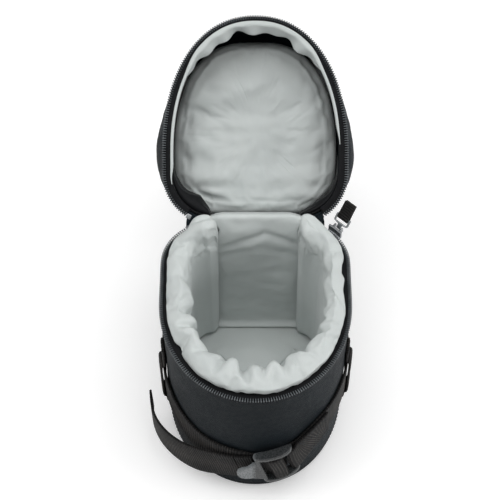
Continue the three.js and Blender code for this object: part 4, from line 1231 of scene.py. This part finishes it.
def gusset(name, fold, left):
    """A fold of dark cloth that gives the lid its room at one end of the hinge."""
    s = np.linspace(fold[0][0], fold[-1][0], GUSSET_STEPS)
    root = -(INSIDE - LINING - GAP)
    crest = GUSSET_CREST + 1.5 * np.sin(s * 0.13)
    turn = np.linspace(0, 2 * math.pi, GUSSET_RING, endpoint=False)
    out = np.maximum(np.cos(turn), 0) ** 0.7
    pinch = smooth((s - s[0]) / 5) * smooth((s[-1] - s) / 22)
    points = []
    for place, depth, top, share in zip(s, through(fold, s), crest, pinch):
        reach = max(depth - root, 0.8) * (0.25 + 0.75 * share)
        z = top + (GUSSET_HIGH - GUSSET_LOW) / 2 * (0.3 + 0.7 * share) * np.sin(turn)
        pleat = 0.5 * np.sin(z * 1.1 + place * 0.12) * out * share
        h = np.minimum(-(root + 0.1 + reach * out) + pleat, -root - 0.05)
        at = LID.length - place if left else place
        points.append(LID.point(np.full(len(turn), at), h, z))
    lid_piece(name + "_cloth", np.array(points), DARK_LINING, "tape", name)


lid_wall()
lid_top()
lid_side_lining()
lid_pad()
gusset("gusset_right", RIGHT_FOLD, left=False)
gusset("gusset_left", LEFT_FOLD, left=True)

# Hinge

HINGE_COVER = 1.15
HINGE_LEVELS = np.array([WALL_TOP - 14.5, 102, 107, 111.4])
HINGE_LID_LEVELS = 2 * MEET - np.array([111.4, 107, 103])
HINGE_LOW = 114.4
HINGE_ROLL = 1.1
HINGE_CLOTH = 0.9
HINGE_END_GAP = 0.6


def hinge_cloth():
    """The outer cloth between pouch and lid, round the back between the ends of the zip."""
    rows = []
    for place in np.linspace(HINGE_END_GAP - ZIP_END, ZIP_END - HINGE_END_GAP, 110):
        low = BODY.point(place, body_face(HINGE_LEVELS) + HINGE_COVER, HINGE_LEVELS)
        high = opened(LID.point(place, HINGE_COVER, HINGE_LID_LEVELS))
        middle = (low[-1] + high[0]) / 2
        middle[2] = max(low[-1][2], high[0][2], HINGE_LOW) + HINGE_ROLL
        rim = opened(LID.point(place, -0.7, LID_WALL_LOW - 0.5))
        rows.append(rounded(np.concatenate([low, [middle], [rim], high]), 48, closed=False))
    piece = skin("hinge_cloth", thin(np.array(rows), HINGE_CLOTH))
    dress(piece, NYLON, None, "nylon", "hinge_panel", "hinge_fold")
    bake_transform(piece)


hinge_cloth()

# Zip

TAPE_STEPS = 420
TAPE_BEVEL, TAPE_EDGE_BEVEL = 0.6, 0.3
COIL_END_GAP = 0.8
COIL_STEPS = 700
# One turn of the coil, across the tape: (place, half its width, half its height)
TOOTH_SECTIONS = [
    (-0.6, 0.22, 0.35), (-0.45, 0.33, 0.6), (0.4, 0.34, 0.66), (1.0, 0.42, 0.72),
    (1.5, 0.52, 0.74), (1.8, 0.42, 0.6), (1.9, 0.2, 0.3),
]
TOOTH_SIDES = 8


def tape(node, outline, reach, body, flip):
    """A zip tape, reaching in under the mouth's edge."""
    s = np.linspace(ZIP_END, outline.length - ZIP_END, TAPE_STEPS)[:, None]
    middle, low = TAPE_TOP - TAPE / 2, TAPE_TOP - TAPE
    near, far = TAPE_EDGE - TAPE_EDGE_BEVEL, -reach + TAPE_BEVEL
    h, z = rounded([
        (-reach, middle), (far, TAPE_TOP), (0, TAPE_TOP), (near, TAPE_TOP),
        (TAPE_EDGE, middle), (near, low), (0, low), (far, low),
    ], 28).T[:, None]
    points = opened(outline.point(s, h, 2 * MEET - z)) if flip else outline.point(s, h, z)
    dress(skin(node + "_cloth", points), TAPE_CLOTH, body, "tape", node)


def tooth():
    """One turn of the coil, lying across the tape with its head outwards."""
    angles = np.arange(TOOTH_SIDES) * math.pi / 4 + math.pi / 8
    rows = []
    for place, half_width, half_height in TOOTH_SECTIONS:
        z = COIL_HEIGHT / 2 + half_height * np.sin(angles)
        rows.append(np.stack([half_width * np.cos(angles), np.full(TOOTH_SIDES, place), z], -1))
    return skin("tooth", np.array(rows))


def row_tree():
    """Repeats one unit along a line, upright on the line's own outward direction."""
    tree = bpy.data.node_groups.new("even_row", "GeometryNodeTree")
    for label, kind in (
        ("Geometry", "NodeSocketGeometry"), ("Unit", "NodeSocketObject"),
        ("Spacing", "NodeSocketFloat"), ("Finish", "NodeSocketMaterial"),
    ):
        tree.interface.new_socket(label, in_out="INPUT", socket_type=kind)
    tree.interface.new_socket("Geometry", in_out="OUTPUT", socket_type="NodeSocketGeometry")
    make, link = tree.nodes.new, tree.links.new
    given, out = make("NodeGroupInput"), make("NodeGroupOutput")
    curve = make("GeometryNodeMeshToCurve")
    spaced = make("GeometryNodeResampleCurve")
    spaced.mode = "LENGTH"
    unit = make("GeometryNodeObjectInfo")
    outward = make("GeometryNodeInputNamedAttribute")
    outward.data_type = "FLOAT_VECTOR"
    outward.inputs["Name"].default_value = "outward"
    upright = make("FunctionNodeAlignEulerToVector")
    upright.axis = "Z"
    tangent = make("GeometryNodeInputTangent")
    turned = make("FunctionNodeAlignEulerToVector")
    turned.axis = "X"
    turned.pivot_axis = "Z"
    placed = make("GeometryNodeInstanceOnPoints")
    realized = make("GeometryNodeRealizeInstances")
    finish = make("GeometryNodeSetMaterial")
    link(given.outputs["Geometry"], curve.inputs[0])
    link(curve.outputs[0], spaced.inputs["Curve"])
    link(given.outputs["Spacing"], spaced.inputs["Length"])
    link(given.outputs["Unit"], unit.inputs["Object"])
    link(outward.outputs["Attribute"], upright.inputs["Vector"])
    link(upright.outputs[0], turned.inputs["Rotation"])
    link(tangent.outputs[0], turned.inputs["Vector"])
    link(spaced.outputs[0], placed.inputs["Points"])
    link(unit.outputs["Geometry"], placed.inputs["Instance"])
    link(turned.outputs[0], placed.inputs["Rotation"])
    link(placed.outputs[0], realized.inputs[0])
    link(realized.outputs[0], finish.inputs["Geometry"])
    link(given.outputs["Finish"], finish.inputs["Material"])
    link(finish.outputs[0], out.inputs[0])
    return tree


ROW = row_tree()


def row_of(name, lines, unit, spacing, material):
    """Copies of the unit, evenly along each line of points and upright on its directions."""
    mesh = bpy.data.meshes.new(name)
    points, outward, edges = [], [], []
    for line, ahead in lines:
        edges.extend((len(points) + i, len(points) + i + 1) for i in range(len(line) - 1))
        points.extend((line * MM).tolist())
        outward.extend(np.asarray(ahead).tolist())
    mesh.from_pydata(points, edges, [])
    attribute = mesh.attributes.new("outward", "FLOAT_VECTOR", "POINT")
    attribute.data.foreach_set("vector", np.array(outward, np.float32).ravel())
    piece = add_object(name, mesh)
    modifier = piece.modifiers.new("row", "NODES")
    modifier.node_group = ROW
    values = {"Unit": unit, "Spacing": spacing * MM, "Finish": material}
    for item in ROW.interface.items_tree:
        if item.in_out == "INPUT" and item.name in values:
            modifier[item.identifier] = values[item.name]
    return final(piece)


def teeth():
    """The coil on each of the two tapes, one turn after another."""
    unit = tooth()
    upwards = np.array([[0, 0, 0], [0, 0, 1.0]])
    for part, outline, body in (("body_zip", BODY, "pouch_body"), ("lid_zip", LID, "lid")):
        start, end = ZIP_END + COIL_END_GAP, outline.length - ZIP_END - COIL_END_GAP
        s = np.linspace(start, end, COIL_STEPS)
        line, up = outline.point(s, 0, MOUTH_HEIGHT), upwards
        if body == "lid":
            line = opened(outline.point(s, 0, 2 * MEET - MOUTH_HEIGHT))[::-1]
            up = opened(-upwards)
        ahead = np.tile(up[1] - up[0], (len(s), 1))
        piece = row_of(part + "_coil", [(line, ahead)], unit, TOOTH_PITCH, TEETH_PLASTIC)
        dress(piece, TEETH_PLASTIC, body, "tape", part + "_teeth")
    bpy.data.objects.remove(unit)


tape("body_zip_tape", BODY, BODY_TAPE_REACH, "pouch_body", flip=False)
tape("lid_zip_tape", LID, LID_TAPE_REACH, "lid", flip=True)
lid_facing()
teeth()
for node, body, voxel, passes in (
    ("body_zip_stop", "pouch_body", 0.2, 4), ("lid_zip_stop", "lid", 0.2, 4),
    ("zip_slider", "slider", 0.22, 5), ("pull_bail", "pull", 0.18, 4),
):
    dress(moulded(node, "_cast", voxel, passes), METAL, body, "metal", node)

# Webbing

WEBBING_POINTS_ACROSS, WEBBING_EDGE_POINTS = 14, 6


def webbing_section(width):
    """The section of webbing as (across, up) points, its edges rounded."""
    half, edge = width / 2, WEBBING / 2
    flat = np.linspace(-half + edge, half - edge, WEBBING_POINTS_ACROSS)
    turn = np.linspace(-math.pi / 2, math.pi / 2, WEBBING_EDGE_POINTS)[1:-1]
    low = [(w, 0) for w in flat]
    right = [(half - edge + edge * math.cos(a), edge + edge * math.sin(a)) for a in turn]
    high = [(w, WEBBING) for w in flat[::-1]]
    left = [(-half + edge - edge * math.cos(a), edge - edge * math.sin(a)) for a in turn]
    return np.array(low + right + high + left)


def ribbon(s, z, h, width):
    """Webbing laid on the wall along a path."""
    ds, dz = np.gradient(s), np.gradient(z)
    run = np.hypot(ds, dz)
    w, up = webbing_section(width).T
    return on_wall(
        s[:, None] - (dz / run)[:, None] * w[None, :],
        z[:, None] + (ds / run)[:, None] * w[None, :],
        h[:, None] + up[None, :],
    )


BUCKLE_S = BUCKLE_PLACE_SHARE * BODY.length
BUCKLE_Z = BUCKLE_HEIGHT_SHARE * MOUTH_HEIGHT
LAYER_ONE = WRAP_GAP
LAYER_TWO = LAYER_ONE + WEBBING + GAP
BEND = BAR_RADIUS + GAP
FIXED_BAR_HEIGHT = LAYER_ONE + WEBBING + BEND
MIDDLE_BAR = FIXED_BAR - BAR_SPACING
TONGUE_BAR = MIDDLE_BAR - BAR_SPACING + GAP
THREAD_UP = MIDDLE_BAR + BAR_RADIUS + 2 * GAP + WEBBING


def strap_height(s):
    """The height of the strap's middle line, straight through the buckle."""
    along = np.mod(s, BODY.length)
    u = (BUCKLE_S - along) / math.cos(BUCKLE_TILT)
    held = np.where(u > 0, STRAIGHT_RIGHT, STRAIGHT_LEFT)
    free = smooth((np.abs(u) - held) / STRAIGHT_BLEND)
    straight = BUCKLE_Z + u * math.sin(BUCKLE_TILT)
    own = MOUTH_HEIGHT * through(STRAP_HEIGHT_SHARES, along / BODY.length)
    return straight + (own - straight) * free


def on_buckle(u, w, h):
    """Points in the buckle's own plan: u to the right along the strap, w across it, h out."""
    return on_wall(
        BUCKLE_S - u * math.cos(BUCKLE_TILT) + w * math.sin(BUCKLE_TILT),
        BUCKLE_Z + u * math.sin(BUCKLE_TILT) + w * math.cos(BUCKLE_TILT),
        h,
    )


def on_strap(u, w, h):
    """The same along the strap's own line, which bends away past the buckle."""
    s = BUCKLE_S - u * math.cos(BUCKLE_TILT)
    slope = np.arctan2(strap_height(s - 1) - strap_height(s + 1), 2)
    return on_wall(s + w * np.sin(slope), strap_height(s) + w * np.cos(slope), h)


def folded(line, width, place, steps):
    """Webbing whose edge view is a line of (along, out) points for its middle plane."""
    path = rounded(np.array(line, float), steps, closed=False)
    along = np.gradient(path, axis=0)
    along /= np.linalg.norm(along, axis=-1, keepdims=True)
    w, up = webbing_section(width).T
    out = up - WEBBING / 2
    u = path[:, :1] - along[:, 1:] * out[None, :]
    h = path[:, 1:] + along[:, :1] * out[None, :]
    return place(u, np.broadcast_to(w[None, :], u.shape), h)


def web(node, points, body):
    """A band of webbing in place of a node's solid."""
    dress(skin(node + "_webbing", points), WEBBING_CLOTH, body, "webbing", node)


def strap():
    end = BUCKLE_S + BODY.length - FIXED_BAR - GAP / 2
    s = np.linspace(BUCKLE_S - THREAD_UP - WEBBING, end, 420)
    points = ribbon(s, strap_height(s), np.full_like(s, LAYER_ONE), STRAP_WIDTH)
    web("strap", points, "pouch_body")


SEWN_TURNS = 8
SEWN_END_POINTS = 6


def strap_ends():
    """The sewn end, the thread over the middle bar, and the first part of the loose tail."""
    half = WEBBING / 2
    low = LAYER_TWO + half
    radius = BEND + half
    turns = [-math.pi / 2 - k / SEWN_TURNS * math.pi for k in range(SEWN_TURNS + 1)]
    sewn = [
        (FIXED_BAR + radius * math.cos(a), FIXED_BAR_HEIGHT + radius * math.sin(a)) for a in turns
    ]
    sewn.append((FIXED_BAR + SEWN_END_RAMP / 2, (FIXED_BAR_HEIGHT + radius + low) / 2))
    for t in np.arange(SEWN_END_POINTS) / (SEWN_END_POINTS - 1):
        sewn.append((FIXED_BAR + SEWN_END_RAMP + t * SEWN_END_LENGTH, low))
    left = 2 * MIDDLE_BAR - THREAD_UP
    thread = [
        (THREAD_UP, LAYER_TWO + GAP), (THREAD_UP, MIDDLE_BAR_HEIGHT),
        (THREAD_UP - half, THREAD_CREST - half), (MIDDLE_BAR + half, THREAD_CREST),
        (MIDDLE_BAR - half, THREAD_CREST), (left + half, THREAD_CREST - half),
        (left, MIDDLE_BAR_HEIGHT), (left - WEBBING, low + half), (left - 2 * WEBBING, low),
        (TONGUE_BAR, low), (TONGUE_BAR - 2 * WEBBING, low),
    ]
    tip = TONGUE_BAR - TONGUE_LENGTH
    start = TONGUE_BAR - 2 * WEBBING - GAP
    root = [(start + (tip - start) * t, low) for t in (0, 0.33, 0.66, 1)]
    for node, line, place, steps, body in (
        ("strap_sewn_end", sewn, on_strap, 90, "pouch_body"),
        ("strap_thread", thread, on_buckle, 80, "buckle"),
        ("strap_tail_root", root, on_buckle, 24, "pouch_body"),
    ):
        web(node, folded(line, STRAP_WIDTH, place, steps), body)


TAIL_STEPS = 120


def strap_tail():
    """The loose end, lifted off the wall."""
    tip = TONGUE_BAR - TONGUE_LENGTH - SOFT_GAP
    s0 = BUCKLE_S - tip * math.cos(BUCKLE_TILT)
    z0 = BUCKLE_Z + tip * math.sin(BUCKLE_TILT)
    share = np.linspace(0, 1, TAIL_STEPS)
    drop = z0 - TAIL_HEIGHT_SHARES[0][1] * MOUTH_HEIGHT
    z = through(TAIL_HEIGHT_SHARES, share) * MOUTH_HEIGHT + drop * (1 - share)
    h = LAYER_TWO + TAIL_LIFT * through(TAIL_LIFT_SHARES, share)
    web("strap_tail", ribbon(s0 + share * TAIL_LENGTH, z, h, STRAP_WIDTH), "tail")


def wall_loop(node, s, rows, width):
    """A band sewn up the wall at s, from its (height, out) points."""
    z, h = rounded(rows, LOOP_STEPS, closed=False).T
    s = s + np.linspace(0, 1e-3, LOOP_STEPS)
    web(node, ribbon(s, z, h, width), "pouch_body")


def keeper_places():
    """Each keeper's name, its place along the wall, and the strap's height there."""
    for name, share in (("right", KEEPER_PLACE_SHARE), ("left", 1 - KEEPER_PLACE_SHARE)):
        s = share * BODY.length
        yield "keeper_" + name, s, float(strap_height(np.array(s)))


def keepers():
    over = LAYER_TWO + GAP
    for name, s, middle in keeper_places():
        low = middle - STRAP_WIDTH / 2 - KEEPER_RAMP
        high = middle + STRAP_WIDTH / 2 + KEEPER_RAMP
        rows = [
            (low - KEEPER_RAMP - KEEPER_SEWN, LAYER_ONE), (low - KEEPER_RAMP, LAYER_ONE),
            (low, over), (middle, over), (high, over), (high + KEEPER_RAMP, LAYER_ONE),
            ((high + KEEPER_TOP) / 2, LAYER_ONE), (KEEPER_TOP, LAYER_ONE),
        ]
        wall_loop(name, s, rows, KEEPER_WIDTH)


def belt_loop():
    low, high = BELT_LOOP_LOW + BELT_LOOP_SEWN, BELT_LOOP_HIGH - BELT_LOOP_SEWN
    rows = [
        (BELT_LOOP_LOW, LAYER_ONE), (low, LAYER_ONE), (low + BELT_LOOP_RAMP, BELT_LOOP_STANDOFF),
        ((low + high) / 2, BELT_LOOP_STANDOFF), (high - BELT_LOOP_RAMP, BELT_LOOP_STANDOFF),
        (high, LAYER_ONE), (BELT_LOOP_HIGH, LAYER_ONE),
    ]
    wall_loop("belt_loop", 0, rows, BELT_LOOP_WIDTH)


# One stitch, along its seam: (place, half its width, how high it lies)
STITCH_SECTIONS = [
    (-0.95, 0.07, -0.12), (-0.7, 0.17, 0.02), (0, 0.2, 0.1), (0.7, 0.17, 0.02),
    (0.95, 0.07, -0.12),
]
STITCH_SIDES = 6
# How far a seam lies from the wall's edge at the zip, and from its edge at the rim
SEAM_AT_ZIP, SEAM_AT_RIM = 2.0, 1.8
POINTS_PER_MM = 2
BOX_MARGIN = 2.5
KEEPER_SEAM, BELT_LOOP_SEAM = 4.6, 16
BELT_LOOP_SEAM_IN = 3


def stitch():
    """One stitch of thread, lying along the seam and sunk in at both ends."""
    angles = np.arange(STITCH_SIDES) * math.pi / 3
    rows = [
        np.stack([np.full(STITCH_SIDES, x), w * np.cos(angles), z + w * np.sin(angles)], -1)
        for x, w, z in STITCH_SECTIONS
    ]
    return skin("stitch", np.array(rows))


def wall_seam(z):
    """A line of stitches round the body, with its outward directions."""
    s = np.linspace(0, BODY.length, SEAM_STEPS)
    nx, ny = BODY.outward(s)
    return on_wall(s, z, STITCH_LIFT), np.stack([nx, ny, 0 * nx], -1)


def lid_seam(z):
    s = np.linspace(0, LID.length, SEAM_STEPS)
    face = lid_face(s, z) + STITCH_LIFT
    points = opened(LID.point(s, face, z))
    return points, opened(LID.point(s, face + 1, z)) - points


def flat_seam(place, corners, h):
    """A line of stitches through corners given on a piece of webbing as (along, across)."""
    corners = np.array(corners, float)
    steps = lengths_along(corners)
    at = np.linspace(0, steps[-1], max(int(steps[-1] * POINTS_PER_MM), 4))
    u, w = [np.interp(at, steps, corners[:, k]) for k in (0, 1)]
    level = np.full(len(at), h)
    points = place(u, w, level)
    return points, place(u, w, level + 1.0) - points


def boxed(u0, u1, half):
    """A box of stitches with a cross in it."""
    round_it = [(u0, -half), (u1, -half), (u1, half), (u0, half), (u0, -half), (u1, half)]
    return round_it, [(u0, half), (u1, -half)]


def cross_seam(s, z, half):
    """A short line of stitches across a band that runs up the wall at s."""
    def place(u, w, h):
        return on_wall(s + w, z + u * 0, h)
    return flat_seam(place, [(0, -half), (0, half)], LAYER_ONE + WEBBING)


def stitches():
    """The seams at the edges of both walls, and where each band is sewn down."""
    unit = stitch()
    on_body = [wall_seam(WALL_TOP - SEAM_AT_ZIP), wall_seam(WALL_BOTTOM + SEAM_AT_RIM)]
    start = FIXED_BAR + SEWN_END_RAMP + BOX_MARGIN
    end = start + SEWN_END_LENGTH - 2 * BOX_MARGIN
    for corners in boxed(start, end, STRAP_WIDTH / 2 - BOX_MARGIN):
        on_body.append(flat_seam(on_strap, corners, LAYER_TWO + WEBBING))
    for _, s, middle in keeper_places():
        low = middle - STRAP_WIDTH / 2 - 2 * KEEPER_RAMP - KEEPER_SEWN / 2
        for z in (low - 1, low + 1, KEEPER_TOP - 4, KEEPER_TOP - 2):
            on_body.append(cross_seam(s, z, KEEPER_SEAM))
    for z in (BELT_LOOP_LOW + BELT_LOOP_SEAM_IN, BELT_LOOP_HIGH - BELT_LOOP_SEAM_IN):
        for shift in (-1.2, 1.2):
            on_body.append(cross_seam(0, z + shift, BELT_LOOP_SEAM))
    on_lid = [lid_seam(LID_WALL_LOW + SEAM_AT_ZIP), lid_seam(LID_WALL_HIGH - SEAM_AT_RIM)]
    for name, lines, body in (("body", on_body, "pouch_body"), ("lid", on_lid, "lid")):
        piece = row_of(name + "_stitches", lines, unit, STITCH_PITCH, THREAD)
        dress(piece, THREAD, body, "webbing")
    bpy.data.objects.remove(unit)


strap()
strap_ends()
strap_tail()
keepers()
belt_loop()
tab = flat_map(moulded("pull_tab", "_webbing", 0.25, 3))
dress(tab, WEBBING_CLOTH, "pull", "webbing", "pull_tab")
dress(moulded("buckle", "_moulded", 0.3, 6), BUCKLE_PLASTIC, "buckle", "plastic", "buckle")
stitches()

# Stage and light

AMBIENT = 0.27
WHITE = (1, 1, 1, 1)
FLOOR_GREY = (0.86, 0.86, 0.86, 1)
FLOOR_REACH = 4000
# The floor turns white for the camera from NEAR metres off, over the next RUN metres
NEAR, RUN = 0.3, 0.7
NEAR_GLOW = 0.3
AIM = (0, 0.03, 0.1)
# Name, place, width and power of each lamp
LAMPS = [
    ("overhead", (0.05, -0.05, 1.5), 1.5, 14), ("left", (-1.1, -0.3, 1.2), 0.9, 5),
    ("right", (1.3, -0.2, 0.6), 0.8, 7),
]


def floor():
    """A pale floor that keeps the shadow near the pouch and is white further off."""
    a = FLOOR_REACH
    points = np.array([[(a, -a, 0), (-a, -a, 0)], [(a, a, 0), (-a, a, 0)]], float)
    piece = skin("floor", points, wrap_v=False)
    made, tree, surface = shade("floor_white")
    surface.inputs["Base Color"].default_value = FLOOR_GREY
    surface.inputs["Roughness"].default_value = 0.9
    surface.inputs["Specular IOR Level"].default_value = 0.1
    where = tree.nodes.new("ShaderNodeTexCoord")
    away = tree.nodes.new("ShaderNodeVectorMath")
    away.operation = "LENGTH"
    tree.links.new(where.outputs["Object"], away.inputs[0])
    past = math_node(tree, "SUBTRACT", away.outputs["Value"], NEAR)
    far = math_node(tree, "DIVIDE", past, RUN, clamp=True)
    strength = math_node(tree, "MULTIPLY", far, 1 - NEAR_GLOW)
    strength = math_node(tree, "ADD", strength, NEAR_GLOW)
    path = tree.nodes.new("ShaderNodeLightPath").outputs
    seen = math_node(tree, "ADD", path["Is Camera Ray"], path["Is Transmission Ray"], clamp=True)
    glow = tree.nodes.new("ShaderNodeEmission")
    tree.links.new(math_node(tree, "MULTIPLY", seen, strength), glow.inputs["Strength"])
    both = tree.nodes.new("ShaderNodeAddShader")
    tree.links.new(surface.outputs[0], both.inputs[0])
    tree.links.new(glow.outputs[0], both.inputs[1])
    tree.links.new(both.outputs[0], tree.nodes["Material Output"].inputs["Surface"])
    piece.data.materials.append(made)


def light():
    """The plain light of a studio: a soft world, and three round lamps."""
    world = bpy.data.worlds.new("studio")
    world.use_nodes = True
    tree = world.node_tree
    back = tree.nodes["Background"]
    back.inputs["Color"].default_value = WHITE
    seen = tree.nodes.new("ShaderNodeLightPath").outputs["Is Camera Ray"]
    strength = math_node(tree, "MULTIPLY", seen, 1 - AMBIENT)
    tree.links.new(math_node(tree, "ADD", strength, AMBIENT), back.inputs["Strength"])
    SCENE.world = world
    for name, place, width, power in LAMPS:
        data = bpy.data.lights.new(name, "AREA")
        data.shape = "DISK"
        data.size = width
        data.energy = power
        lamp = bpy.data.objects.new(name, data)
        lamp.location = place
        lamp.rotation_euler = (Vector(AIM) - Vector(place)).to_track_quat("-Z", "Y").to_euler()
        SCENE.collection.objects.link(lamp)


floor()
light()
SCENE.view_settings.view_transform = "Standard"
